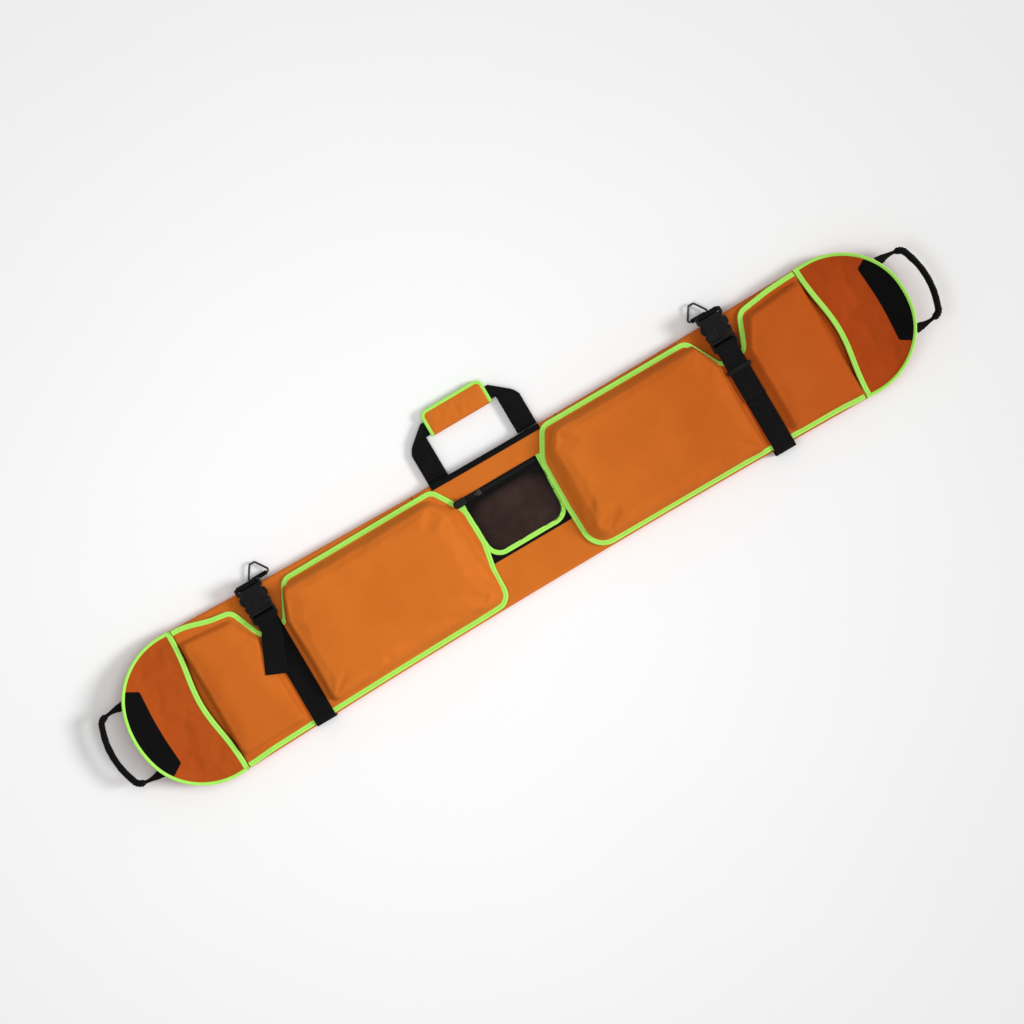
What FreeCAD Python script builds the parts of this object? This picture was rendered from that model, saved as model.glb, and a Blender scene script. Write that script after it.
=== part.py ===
"""Padded snowboard sleeve: a soft tray with end pockets, two raised flaps, straps, a mesh pocket and handles.

Millimetres. The board lies along X with its nose at -X and its tail at +X. The carry handle is on the
+Y side, the flaps are hinged on the -Y side and open upwards (+Z). The underside lies on Z = 0 and the
origin is at its middle.
"""
import FreeCAD, Part
import os
from math import acos, asin, atan2, cos, hypot, pi, radians, sin, sqrt, tan

V = FreeCAD.Vector
UP = V(0, 0, 1)

# --- driving dimensions ---------------------------------------------------------------------------
HALF_LENGTH = 800.0
NOSE_HALF_WIDTH = 144.0
TAIL_HALF_WIDTH = 134.0
WAIST_HALF_WIDTH = 129.0
TIP_RADIUS = 190.0          # the end arc of nose and tail
SHOULDER_RADIUS = 125.0     # the arcs between the end arc and the long edges
KICK_START = 640.0          # where the tips begin to rise
KICK_RADIUS = 366.0

WALL_HEIGHT = 22.0          # top edge of the side wall
SHELL = 4.0                 # padded fabric of the tray
FABRIC = 3.0                # padded fabric of the flaps and the end pockets
PADDING = 3.0
BOARD = 9.0
LAYER_GAP = 0.3             # air left between layers that are sewn or laid together
BINDING_WIDTH = 9.6         # lime tape on flaps, pocket and mouths
EDGE_BINDING = 5.0          # lime tape on the tips, seen from above
WEBBING = 40.0              # strap and handle webbing width
WEB_THICK = 1.6

MOUTH_EDGE = 646.0          # where the pocket mouth meets the long edges
MOUTH_BOW = 16.0            # how far its middle lies nearer the tip
POCKET_TOP = 30.0           # underside of the end pocket's panel at the mouth
PATCH_X = 750.0           # inner edge of the patch on the tip
PATCH_HALF = 74.0

FLAP_Z = 25.2               # underside of the flap's flange
FLAP_INNER = 79.5           # the flap's edge beside the mesh pocket
LOBE_TOP = 60.0
SMALL_LOBE_TOP = 46.0
STRAP_X = {-1: 486.0, 1: 476.0}    # distance of the nose's and the tail's strap from the middle
NOTCH_Y = 57.0              # bottom of the cut-out that clears the buckle
FLAP_OPEN_GAP = 1.6         # flap edge to mouth

STRAP_Z = 31.2              # underside of the strap where it crosses the flap
BUCKLE_Z = 38.0             # middle plane of the buckle
BUCKLE_THICK = 11.0
BUCKLE_REAR = 147.0         # the socket's end beyond the sleeve's edge
SOCKET_MOUTH = 95.0
FRAME_END = 72.0            # the plug frame's end
STRAP_END_Y = 58.0          # where the free end of the nose strap leaves its loop
STRAP_END_TILT = 12.0       # degrees it rises from there, to lie on the small lobe
RING_WIRE = 4.0
RING_HALF = 23.0            # half width between wire centres
RING_REACH = 27.0           # base bar to apex, between wire centres
RING_SHIFT = {-1: 25.0, 1: 14.0}   # the rings sit this much nearer the middle than their straps
RING_Z = 9.0

POCKET_LEFT = -85.0         # outer edges of the mesh pocket's side tape at its top
POCKET_RIGHT = 90.0
POCKET_LOW = -45.0
ZIP_Y = 76.0
ZIP_LOW = 62.0              # lower edge of the zip's cloth
SLIDER_X = -44.0
PULL_Z = 28.6               # the pull's cord where it passes through the slider's bridge
PULL_TILT = 10.0            # degrees the pull rises towards its free end, over the flap's edge
HANDLE_GRIP = 64.0          # half length of the carry handle's wrap
HANDLE_LEG = 113.0          # outer edge of its legs
HANDLE_Z = 10.5
HANDLE_PIVOT_Y = 133.4
GRIP_LOW = 206.0
GRIP_HIGH = 255.5
GRIP_PAD = 4.6
END_PIVOT_X = 794.0
END_Z = 41.0
END_LEG_Y = 70.0            # middle of each leg's root
END_BEND_Y = 67.0           # where the centre line turns from leg to grip
END_OUTER_X = 849.0         # outermost point of the end handles' centre line
TUBE_RADIUS = 6.8

OUT = "parts"


# --- shapes ---------------------------------------------------------------------------------------
def turn_at(before, here, after):
    """Start, middle and end of the arc that rounds the corner here, or None if it is sharp or straight."""
    p, r = V(*here[:2], 0), here[2]
    back, ahead = V(*before[:2], 0) - p, V(*after[:2], 0) - p
    back.normalize()
    ahead.normalize()
    half = acos(max(-1.0, min(1.0, back.dot(ahead)))) / 2
    if r < 0.01 or half > pi / 2 - 0.005:
        return None
    reach = r / tan(half)
    middle = back + ahead
    middle.normalize()
    return p + back * reach, p + middle * (r / sin(half) - r), p + ahead * reach


def path_edges(corners, turns):
    """Lines and arcs through corners, where turns holds each corner's arc or None."""
    edges, last = [], None
    for corner, turn in zip(corners, turns):
        start = turn[0] if turn else V(*corner[:2], 0)
        if last is not None and last.distanceToPoint(start) > 1e-6:
            edges.append(Part.makeLine(last, start))
        if turn:
            edges.append(Part.Arc(*turn).toShape())
        last = turn[2] if turn else start
    return edges, last


def rounded(corners):
    """A closed wire in XY through (x, y, radius) corners, each corner turned into an arc of its radius."""
    n = len(corners)
    turns = [turn_at(corners[i - 1], corners[i], corners[(i + 1) % n]) for i in range(n)]
    edges, last = path_edges(corners, turns)
    start = turns[0][0] if turns[0] else V(*corners[0][:2], 0)
    if last.distanceToPoint(start) > 1e-6:
        edges.append(Part.makeLine(last, start))
    return Part.Wire(edges)


def open_path(corners):
    """An open wire in XY through (x, y, radius) corners."""
    inner = [turn_at(*corners[i - 1:i + 2]) for i in range(1, len(corners) - 1)]
    return Part.Wire(path_edges(corners, [None] + inner + [None])[0])


def prism(wire, low, high):
    """The wire's face standing from low to high."""
    solid = Part.Face(wire).extrude(V(0, 0, high - low))
    solid.translate(V(0, 0, low))
    return solid


def plate(corners, low, high):
    return prism(rounded(corners), low, high)


def box(x0, x1, y0, y1, z0, z1):
    return Part.makeBox(x1 - x0, y1 - y0, z1 - z0, V(x0, y0, z0))


def end_arcs(half_width, inset):
    """Shoulder, meeting and tip points of one end, for x > 0 and y > 0, with a point on each arc."""
    end_centre = HALF_LENGTH - TIP_RADIUS
    rise = half_width - SHOULDER_RADIUS
    shoulder_x = end_centre + sqrt((TIP_RADIUS - SHOULDER_RADIUS) ** 2 - rise ** 2)
    angle = atan2(rise, shoulder_x - end_centre)
    r, big = SHOULDER_RADIUS - inset, TIP_RADIUS - inset
    between = (angle + pi / 2) / 2
    return {
        "shoulder": (shoulder_x, half_width - inset),
        "shoulder_arc": (shoulder_x + r * cos(between), rise + r * sin(between)),
        "meeting": (shoulder_x + r * cos(angle), rise + r * sin(angle)),
        "tip": (end_centre + big, 0.0),
    }


def outline(inset=0.0):
    """The sleeve's outline in plan, moved inwards by inset."""
    nose, tail = end_arcs(NOSE_HALF_WIDTH, inset), end_arcs(TAIL_HALF_WIDTH, inset)

    def at(end, name, sx, sy):
        x, y = end[name]
        return V(sx * x, sy * y, 0)

    edges = []
    for sy in (1, -1):
        edges.append(Part.Arc(at(nose, "shoulder", -1, sy), V(0, sy * (WAIST_HALF_WIDTH - inset), 0),
                              at(tail, "shoulder", 1, sy)).toShape())
        for end, sx in ((nose, -1), (tail, 1)):
            edges.append(Part.Arc(at(end, "shoulder", sx, sy), at(end, "shoulder_arc", sx, sy),
                                  at(end, "meeting", sx, sy)).toShape())
    for end, sx in ((nose, -1), (tail, 1)):
        tip = Part.Arc(at(end, "meeting", sx, 1), at(end, "tip", sx, 1), at(end, "meeting", sx, -1))
        edges.append(tip.toShape())
    return Part.Wire(Part.__sortEdges__(edges))


def half_width_at(x):
    """Half the outline's width at x, on the long edges."""
    nose_x = end_arcs(NOSE_HALF_WIDTH, 0)["shoulder"][0]
    tail_x = end_arcs(TAIL_HALF_WIDTH, 0)["shoulder"][0]
    arc = Part.Arc(V(-nose_x, NOSE_HALF_WIDTH, 0), V(0, WAIST_HALF_WIDTH, 0), V(tail_x, TAIL_HALF_WIDTH, 0))
    circle = arc.toShape().Curve
    return circle.Center.y - sqrt(circle.Radius ** 2 - (x - circle.Center.x) ** 2)


def slab(low, high, reach=250.0):
    """Everything between two heights above the curved base, across the sleeve."""
    turn = radians(35)

    def side(height, sign):
        r = KICK_RADIUS - height
        angles = (turn, turn / 2, 0)
        return [V(sign * (KICK_START + r * sin(a)), 0, KICK_RADIUS - r * cos(a)) for a in angles]

    def run(height):
        left, right = side(height, -1), side(height, 1)
        middle = Part.makeLine(left[2], right[2])
        return [Part.Arc(*left).toShape(), middle, Part.Arc(*right).toShape()], left[0], right[0]

    lower, low_left, low_right = run(low)
    upper, high_left, high_right = run(high)
    ends = [Part.makeLine(low_left, high_left), Part.makeLine(low_right, high_right)]
    wire = Part.Wire(Part.__sortEdges__(lower + upper + ends))
    solid = Part.Face(wire).extrude(V(0, 2 * reach, 0))
    solid.translate(V(0, -reach, 0))
    return solid


def ribbon_face(points, thickness):
    """The face of a band that follows (u, v, radius) points, thickness across."""
    n, half = len(points), thickness / 2
    sides = {1: [], -1: []}
    for i, (y, z, r) in enumerate(points):
        into = V(y - points[i - 1][0], z - points[i - 1][1], 0) if i else None
        out = V(points[i + 1][0] - y, points[i + 1][1] - z, 0) if i < n - 1 else None
        into, out = into or out, out or into
        into.normalize()
        out.normalize()
        a, b = V(-into.y, into.x, 0), V(-out.y, out.x, 0)
        mitre = a + b
        mitre = mitre * (1 / (1 + a.dot(b)))
        turning = 1 if into.x * out.y - into.y * out.x > 0 else -1
        for side in (1, -1):
            p = V(y, z, 0) + mitre * (side * half)
            sides[side].append((p.x, p.y, max(0.0, r - side * turning * half) if r else 0.0))
    return Part.Face(rounded(sides[1] + sides[-1][::-1]))


def ribbon(points, thickness, x0, x1):
    """Webbing that follows (y, z, radius) points in the YZ plane, from x0 to x1."""
    solid = ribbon_face(points, thickness).extrude(V(0, 0, x1 - x0))
    solid.transformShape(FreeCAD.Matrix(0, 0, 1, x0, 1, 0, 0, 0, 0, 1, 0, 0, 0, 0, 0, 1))
    return solid


def soften(shape, radius, wanted):
    """Rounds the edges whose bounding box the test accepts."""
    edges = [e for e in shape.Edges if wanted(e.BoundBox)]
    return shape.makeFillet(radius, edges) if edges else shape


def rod(path, radius):
    """Round wire along a smooth path."""
    start = path.Edges[0]
    circle = Part.Circle(start.valueAt(start.FirstParameter), start.tangentAt(start.FirstParameter), radius)
    return path.makePipeShell([Part.Wire(circle.toShape())], True, True)


def mirror_x(shape):
    return shape.mirror(V(0, 0, 0), V(1, 0, 0))


def save(name, shape):
    """Writes one node. Every piece in it has to be a valid closed solid."""
    solids = shape.Solids
    if not solids or not all(s.isValid() and s.Volume > 0 for s in solids):
        raise ValueError(f"{name} is not made of valid solids")
    keep = solids[0] if len(solids) == 1 else Part.makeCompound(solids)
    keep.exportStep(os.path.join(OUT, name + ".step"))


# --- tray, padding and board ----------------------------------------------------------------------
def base_shell():
    tray = prism(outline(), -5, 90).common(slab(0, WALL_HEIGHT))
    tray = tray.cut(prism(outline(SHELL), -5, 90).common(slab(SHELL, 80)))
    for x in (-STRAP_X[-1], STRAP_X[1]):
        tray = tray.cut(box(x - WEBBING / 2 - 0.4, x + WEBBING / 2 + 0.4, -200, 200, -1, 2.2))
    return tray


def layer(inset, low, high):
    return prism(outline(inset), -5, 90).common(slab(low, high))


def inside(x0, x1, y0, inset=SHELL + LAYER_GAP, low=18.0, high=WALL_HEIGHT - 0.2):
    """A top layer that reaches from the +Y wall down to y0."""
    return box(x0, x1, y0, 200, low, high).common(prism(outline(inset), -5, 90))


# --- end pockets ----------------------------------------------------------------------------------
def beyond_mouth(sign, shift, inset, low=-5, high=120):
    """The end of the sleeve past the pocket's mouth line, with the line moved shift towards the tip."""
    edge, middle = MOUTH_EDGE + shift, MOUTH_EDGE + MOUTH_BOW + shift
    reach = 160.0
    line = Part.Arc(V(edge, -reach, 0), V(middle, 0, 0), V(edge, reach, 0)).toShape()
    far = HALF_LENGTH + 60
    corners = [V(edge, reach, 0), V(far, reach, 0), V(far, -reach, 0), V(edge, -reach, 0)]
    back = [Part.makeLine(a, b) for a, b in zip(corners, corners[1:])]
    region = prism(Part.Wire([line] + back), low, high)
    if sign < 0:
        region = mirror_x(region)
    return region if inset is None else region.common(prism(outline(inset), low, high))


def over_pocket(low, high):
    """Between two heights above the end pocket's panel: level at the mouth, then following the risen tip."""
    def region(sign):
        wires = []
        for height in (low, high):
            r = KICK_RADIUS - WALL_HEIGHT - LAYER_GAP - height
            level = POCKET_TOP + height
            start = asin(sqrt(r ** 2 - (KICK_RADIUS - level) ** 2) / r)
            stop = radians(34)
            points = [V(sign * (KICK_START + r * sin(a)), 0, KICK_RADIUS - r * cos(a))
                      for a in (start, (start + stop) / 2, stop)]
            wires.append((V(sign * KICK_START, 0, level), points))
        (a, p), (b, q) = wires
        edges = [Part.makeLine(a, p[0]), Part.Arc(*p).toShape(), Part.makeLine(p[2], q[2]),
                 Part.Arc(*q).toShape(), Part.makeLine(q[0], b), Part.makeLine(b, a)]
        solid = Part.Face(Part.Wire(Part.__sortEdges__(edges))).extrude(V(0, 400, 0))
        solid.translate(V(0, -200, 0))
        return solid

    return {-1: region(-1), 1: region(1)}


def end_pocket(name, sign):
    panel = over_pocket(0, FABRIC)[sign]
    save(f"{name}_pocket", beyond_mouth(sign, BINDING_WIDTH + 0.2, EDGE_BINDING + LAYER_GAP).common(panel))
    mouth = beyond_mouth(sign, 0, EDGE_BINDING + LAYER_GAP).cut(beyond_mouth(sign, BINDING_WIDTH, None))
    save(f"{name}_mouth_binding", mouth.common(over_pocket(-0.6, FABRIC + 1)[sign]))
    rim = beyond_mouth(sign, 0, -1.5).cut(prism(outline(EDGE_BINDING), -5, 120))
    band = slab(WALL_HEIGHT + 0.2, WALL_HEIGHT + FABRIC + 1.2)
    save(f"{name}_edge_binding", rim.common(band))
    patch = plate([(sign * PATCH_X, -PATCH_HALF, 4), (sign * PATCH_X, PATCH_HALF, 4), (sign * 777, 98, 0),
                   (sign * 820, 98, 0), (sign * 820, -98, 0), (sign * 777, -98, 0)], -5, 120)
    patch = patch.common(prism(outline(EDGE_BINDING + LAYER_GAP + 0.3), -5, 120))
    save(f"{name}_patch", patch.common(over_pocket(FABRIC + 0.2, FABRIC + 1.4)[sign]))


# --- flaps ----------------------------------------------------------------------------------------
def flap_corners(sign):
    """The flap in plan for x > 0, before it is cut to the sleeve's outline and the pocket mouth."""
    upper, strap_x = WAIST_HALF_WIDTH - 4, STRAP_X[sign]
    if sign < 0:
        inner = [(FLAP_INNER + 8, 3 - WAIST_HALF_WIDTH, 30), (FLAP_INNER + 5, -58, 60),
                 (FLAP_INNER - 5, -8, 60), (FLAP_INNER - 4, 64, 50)]
    else:
        inner = [(FLAP_INNER + 3, 3 - WAIST_HALF_WIDTH, 44), (FLAP_INNER, -30, 80),
                 (FLAP_INNER + 1.5, 68, 60)]
    return inner + [(114, upper, 24), (strap_x - 58, upper - 1, 24), (strap_x - 22, NOTCH_Y, 12),
                    (strap_x + 22, NOTCH_Y, 12), (strap_x + 48, upper - 4, 26),
                    (720, 148, 0), (720, -160, 0)]


def flap_region(sign, inset):
    """The flap's plan as a tall solid, moved inwards by inset except at the pocket mouth."""
    outer = prism(rounded(flap_corners(sign)), -5, 120)
    if sign < 0:
        outer = mirror_x(outer)
    outer = outer.common(prism(outline(2.5), -5, 120))
    floor = [f for f in outer.Faces if f.normalAt(0, 0).z < -0.99][0]
    if inset:
        wire = floor.OuterWire.makeOffset2D(-inset, 0, False, False, True)
        wire.translate(V(0, 0, -wire.BoundBox.ZMin))
        outer = prism(wire, -5, 120)
    return outer.cut(beyond_mouth(sign, -FLAP_OPEN_GAP, None))


def lobe(corners_low, corners_high, low, high):
    """A raised dome between two rounded outlines."""
    bottom, top = rounded(corners_low), rounded(corners_high)
    bottom.translate(V(0, 0, low))
    top.translate(V(0, 0, high))
    return Part.makeLoft([bottom, top], True, True)


def lobe_shapes(sign):
    """(outer dome, hollow) for the large and the small lobe, for x > 0."""
    base = FLAP_Z + FABRIC
    near, far = STRAP_X[sign] - 27, STRAP_X[sign] + 27
    large_low = [(92, -116, 32), (near, -119, 12), (near, 52, 12), (near - 23, 109, 14),
                 (128, 111, 22), (98, 74, 30)]
    large_high = [(114, -106, 26), (near - 10, -110, 10), (near - 10, 50, 10), (near - 29, 99, 12),
                  (137, 101, 18), (117, 70, 26)]
    small_low = [(far, -119, 10), (647, -121, 10), (647, 116, 10), (far + 31, 106, 14), (far + 1, 50, 12)]
    small_high = [(far + 11, -109, 8), (637, -111, 8), (637, 106, 8), (far + 38, 97, 12), (far + 11, 48, 10)]
    shapes = []
    for low, high, top in ((large_low, large_high, LOBE_TOP), (small_low, small_high, SMALL_LOBE_TOP)):
        outer = lobe(low, high, base - 0.5, top)
        centre_x = sum(c[0] for c in low) / len(low)
        centre_y = sum(c[1] for c in low) / len(low)

        def shrunk(corners):
            inner = []
            for x, y, r in corners:
                out_x, out_y = x - centre_x, y - centre_y
                share = 1 - 1.4 * FABRIC / hypot(out_x, out_y)
                inner.append((centre_x + out_x * share, centre_y + out_y * share, max(r - 2, 4)))
            return inner

        hollow = lobe(shrunk(low), shrunk(high), base - 0.5, top - FABRIC)
        foot = prism(rounded(shrunk(low)), FLAP_Z - 1, base)
        shapes.append((outer, hollow.fuse(foot)))
    return shapes


def flap(name, sign):
    whole, inner = flap_region(sign, 0), flap_region(sign, BINDING_WIDTH)
    panel = flap_region(sign, BINDING_WIDTH + 0.2).common(box(-900, 900, -200, 200, FLAP_Z, FLAP_Z + FABRIC))
    for outer, hollow in lobe_shapes(sign):
        if sign < 0:
            outer, hollow = mirror_x(outer), mirror_x(hollow)
        panel = panel.fuse(outer.common(flap_region(sign, BINDING_WIDTH + 0.2))).cut(hollow)
    save(f"{name}_flap", panel.removeSplitter())
    tape = whole.cut(inner).common(box(-900, 900, -200, 200, FLAP_Z - 0.6, FLAP_Z + FABRIC + 0.6))
    save(f"{name}_flap_binding", tape)


# --- mesh pocket ----------------------------------------------------------------------------------
def mesh_pocket():
    top = ZIP_Y + 6
    save("pocket_backing", box(POCKET_LEFT - 1, POCKET_RIGHT - 4, POCKET_LOW - 5, top - 1, 22.0, 22.7))

    def cup(inset):
        left, right, low, r = POCKET_LEFT + inset, POCKET_RIGHT - inset, POCKET_LOW + inset, 32 - inset
        return [(right, top + inset, 0), (right - 8, low, r), (left + 3, low, r), (left, top + inset, 0)]

    tape = plate(cup(0), 22.9, 24.3).cut(plate(cup(BINDING_WIDTH), 22, 25))
    save("pocket_binding", tape)
    net = plate(cup(BINDING_WIDTH + 0.3), 22.9, 23.7)
    save("pocket_mesh", net.cut(box(-95, 95, ZIP_LOW - 0.2, 120, 20, 30)))
    zip_left, zip_right = POCKET_LEFT + BINDING_WIDTH + 0.8, POCKET_RIGHT - BINDING_WIDTH - 2.2
    save("zip_tape", box(zip_left, zip_right, ZIP_LOW, top, 22.9, 23.5))
    rows = []
    for i in range(48):
        x = -67.5 + 3 * i
        rows.append(box(x - 0.9, x + 0.9, ZIP_Y - 2.6, ZIP_Y + 1.0, 23.6, 24.5))
        rows.append(box(x + 0.6, x + 2.4, ZIP_Y + 1.1, ZIP_Y + 2.6, 23.6, 24.5))
    save("zip_teeth", Part.makeCompound(rows))
    slider = plate([(SLIDER_X - 7, ZIP_Y - 4, 2), (SLIDER_X - 7, ZIP_Y + 4, 2),
                    (SLIDER_X + 7, ZIP_Y + 5.5, 2), (SLIDER_X + 7, ZIP_Y - 5.5, 2)], 24.8, 27.0)
    bridge = ribbon([(-4.5, 26.5, 0), (-4.5, 30.6, 2), (4.5, 30.6, 2), (4.5, 26.5, 0)], 1.2, -1.6, 1.6)
    bridge.rotate(V(0, 0, 0), UP, 90)
    bridge.translate(V(SLIDER_X, ZIP_Y, 0))
    save("zip_slider", slider.fuse(bridge).removeSplitter())
    turn, z = SLIDER_X - 3.4, PULL_Z
    near, far = V(turn, ZIP_Y - 3.2, z), V(turn, ZIP_Y + 3.2, z)
    start, end = near + V(-22.2, 0, 0), far + V(-22.2, 0, 0)
    bend = Part.Arc(near, V(turn + 3.2, ZIP_Y, z), far).toShape()
    cord = rod(Part.Wire([Part.makeLine(start, near), bend, Part.makeLine(far, end)]), 0.9)
    left, right, low, high = SLIDER_X - 50, SLIDER_X - 25.4, ZIP_Y - 7.5, ZIP_Y + 7.5
    knob = plate([(left, low, 7), (right, low, 5), (right, high, 5), (left, high, 7)],
                 PULL_Z - 3.2, PULL_Z + 3.2)
    knob = soften(knob, 2.4, lambda b: b.ZLength < 0.01)
    pull = cord.fuse(knob).removeSplitter()
    pull.rotate(V(turn + 1.4, ZIP_Y, z), V(0, 1, 0), PULL_TILT)
    save("zip_pull", pull)


# --- carry handle ---------------------------------------------------------------------------------
def carry_handle():
    side = HANDLE_LEG
    strip = prism(outline(-2), 3, 20).cut(prism(outline(-0.3), 0, 30))
    lid = prism(outline(-2), 22.2, 23.6).cut(prism(outline(9), 20, 30))
    step = prism(outline(-2), 20, 22.2).cut(prism(outline(-0.3), 10, 30))
    strip = strip.fuse([lid, step]).common(box(-side, side, 0, 200, 0, 30))
    save("handle_base_strip", strip.removeSplitter())
    z0, z1 = HANDLE_Z - WEB_THICK / 2, HANDLE_Z + WEB_THICK / 2
    low, high = GRIP_LOW + 4, GRIP_LOW + 31
    root, inner = HANDLE_PIVOT_Y, side - WEBBING
    right = [(side, root, 0), (side, 201, 9), (82, 231, 20), (60, high, 0)]
    left = [(-x, y, r) for x, y, r in right[::-1]]
    back = [(60, low, 3), (inner, 199, 3), (inner, root, 0)]
    web = plate(right + left + [(-x, y, r) for x, y, r in back[::-1]] + back, z0, z1)
    for x in (-side, side - WEBBING):
        web = web.fuse(Part.makeCylinder(WEB_THICK / 2, WEBBING, V(x, HANDLE_PIVOT_Y, HANDLE_Z), V(1, 0, 0)))
    save("handle_webbing", web.removeSplitter())
    edge, tape = 0.4, 5.0

    def pad(grow):
        w = HANDLE_GRIP - tape - edge + grow
        high = GRIP_HIGH - tape - edge + grow
        return [(-w, GRIP_LOW, 1), (w, GRIP_LOW, 1), (w, high, 9 + grow), (-w, high, 9 + grow)]

    for name, sign in (("grip_back", -1), ("grip_front", 1)):
        near, far = sign * (WEB_THICK / 2 + 0.3), sign * (WEB_THICK / 2 + 0.3 + GRIP_PAD)
        lows = sorted((HANDLE_Z + near, HANDLE_Z + far))
        save(name, plate(pad(0), *lows))
        rim = plate(pad(tape + edge), lows[0], lows[1]).cut(plate(pad(edge), 0, 30))
        save(name + "_binding", rim.cut(box(-90, 90, GRIP_LOW - 1, GRIP_LOW + 2, 0, 30)))


# --- end handles ----------------------------------------------------------------------------------
def end_handle(name, sign):
    bend_x = END_OUTER_X - 13

    def c_rod(start_x, radius):
        """A rod along the handle's C-shaped centre line, from start_x on one side to the other's."""
        start_y = END_BEND_Y + 0.12 * (bend_x - start_x)
        path = open_path([(start_x, start_y, 0), (bend_x, END_BEND_Y, 15), (END_OUTER_X + 9, 0, 150),
                          (bend_x, -END_BEND_Y, 15), (start_x, -start_y, 0)])
        path.translate(V(0, 0, END_Z))
        return rod(path, radius)

    tube = c_rod(END_OUTER_X - 27, TUBE_RADIUS).cut(c_rod(END_OUTER_X - 36, 4.0))
    core = c_rod(END_OUTER_X - 28, 3.4)
    root, near = END_PIVOT_X - 0.8, END_OUTER_X - 26.5
    for side in (-1, 1):
        leg = plate([(root, side * (END_LEG_Y - 7), 0), (root, side * (END_LEG_Y + 7), 0),
                     (near - 10, side * (END_LEG_Y + 4), 20), (near, side * (END_LEG_Y + 2.6), 0),
                     (near, side * (END_LEG_Y - 4.4), 0), (near - 10, side * (END_LEG_Y - 3.5), 20)],
                    END_Z - 1.1, END_Z + 1.1)
        core = core.fuse(leg)
    core = core.removeSplitter()
    save(f"{name}_end_handle", core if sign > 0 else mirror_x(core))
    save(f"{name}_end_grip", tube if sign > 0 else mirror_x(tube))


# --- straps, rings and buckles --------------------------------------------------------------------
def place(shape, sign):
    """Moves a part built around x = 0 to its strap."""
    moved = shape.copy()
    moved.translate(V(sign * STRAP_X[sign], 0, 0))
    return moved


def wall_y():
    """Middle of the webbing where it runs up beside the wall."""
    return half_width_at(-STRAP_X[-1] - WEBBING / 2) + 0.9 + WEB_THICK / 2


def under_strap(name, sign):
    y, half = wall_y(), WEBBING / 2
    over, past = BUCKLE_Z + 2 + 0.4 + WEB_THICK / 2, BUCKLE_REAR + 0.4 + WEB_THICK / 2
    path = [(-y, 29.2, 0), (-y, 1.0, 2.4), (y, 1.0, 2.4), (y, over, 1.2), (past, over, 1.6), (past, 32, 4),
            (y + 2.0, 26, 4), (y + 2.0, 14, 0)]
    save(f"{name}_under_strap", place(ribbon(path, WEB_THICK, -half, half), sign))
    yt = y + 2.0 + WEB_THICK + 0.4
    low, high = RING_Z - 3.2, RING_Z + 3.2
    loop = [(yt, 21, 0), (yt, low, 2.4), (yt + 6.4, low, 3.2), (yt + 6.4, high, 3.2), (yt + 2.0, high, 1.0),
            (yt + 2.0, 21, 0)]
    shift = -sign * RING_SHIFT[sign]
    save(f"{name}_ring_tab", place(ribbon(loop, WEB_THICK, shift - 15, shift + 15), sign))
    bar_y = yt + 3.2
    path = rounded([(-RING_HALF, bar_y, 4), (RING_HALF, bar_y, 4), (5, bar_y + RING_REACH, 4),
                    (-5, bar_y + RING_REACH, 4)])
    ring = rod(path, RING_WIRE / 2)
    ring.translate(V(shift, 0, RING_Z))
    save(f"{name}_ring", place(ring, sign))
    return bar_y


def socket():
    """The buckle's female half: a flat case with a mouth at one end and a webbing bar at the other."""
    half = BUCKLE_THICK / 2
    z0, z1 = BUCKLE_Z - half, BUCKLE_Z + half
    right = [(24, SOCKET_MOUTH, 2), (26, 106, 3), (21.5, 111, 5), (21.5, 129, 5), (26, 134, 3),
             (26, BUCKLE_REAR, 4)]
    case = plate(right + [(-x, y, r) for x, y, r in right[::-1]], z0, z1)
    case = soften(case, 1.6, lambda b: b.ZLength < 0.01)
    mouth = [(21, 90, 0), (21, 109.6, 1), (23, 111, 1), (23, 131, 3)]
    mouth += [(-x, y, r) for x, y, r in mouth[::-1]]
    case = case.cut(plate(mouth, BUCKLE_Z - 3.6, BUCKLE_Z + 3.6))
    case = case.cut(box(-30, 30, 110.2, 128.8, BUCKLE_Z - 3.6, BUCKLE_Z + 3.6))
    y = wall_y()
    slot = box(-20.6, 20.6, y - 2, y + 1.4, z0 - 1, z1 + 1)
    above = box(-20.6, 20.6, y, BUCKLE_REAR + 5, BUCKLE_Z + 2, z1 + 1)
    below = box(-20.6, 20.6, y, BUCKLE_REAR + 5, z0 - 1, BUCKLE_Z - 2)
    case = case.cut(slot).cut(above).cut(below)
    for x in (-9, 0, 9):
        groove = [(x - 1.2, 99, 1.1), (x + 1.2, 99, 1.1), (x + 1.2, 126, 1.1), (x - 1.2, 126, 1.1)]
        case = case.cut(plate(groove, z1 - 0.6, z1 + 1))
    return case


def plug_frame():
    """The male half's frame: a rail each side, a round bar for the webbing and a cross piece at its end."""
    z0, z1 = BUCKLE_Z - 5, BUCKLE_Z + 5.4
    front = SOCKET_MOUTH - 0.5
    block = plate([(-25, FRAME_END, 5), (25, FRAME_END, 5), (24, front, 2), (-24, front, 2)], z0, z1)
    block = soften(block, 1.4, lambda b: b.ZLength < 0.01)
    block = block.cut(plate([(-20.6, FRAME_END + 4, 1), (20.6, FRAME_END + 4, 1), (20.6, front - 5.5, 1),
                             (-20.6, front - 5.5, 1)], z0 - 1, z1 + 1))
    block = block.cut(box(-20.6, 20.6, FRAME_END - 2, FRAME_END + 5, z0 - 1, BUCKLE_Z - 2.4))
    block = block.cut(box(-20.6, 20.6, FRAME_END - 2, FRAME_END + 5, BUCKLE_Z + 4, z1 + 1))
    bar = Part.makeCylinder(2.2, 43, V(-21.5, FRAME_END + 9.4, BUCKLE_Z + 0.4), V(1, 0, 0))
    return block.fuse(bar).removeSplitter()


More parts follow.
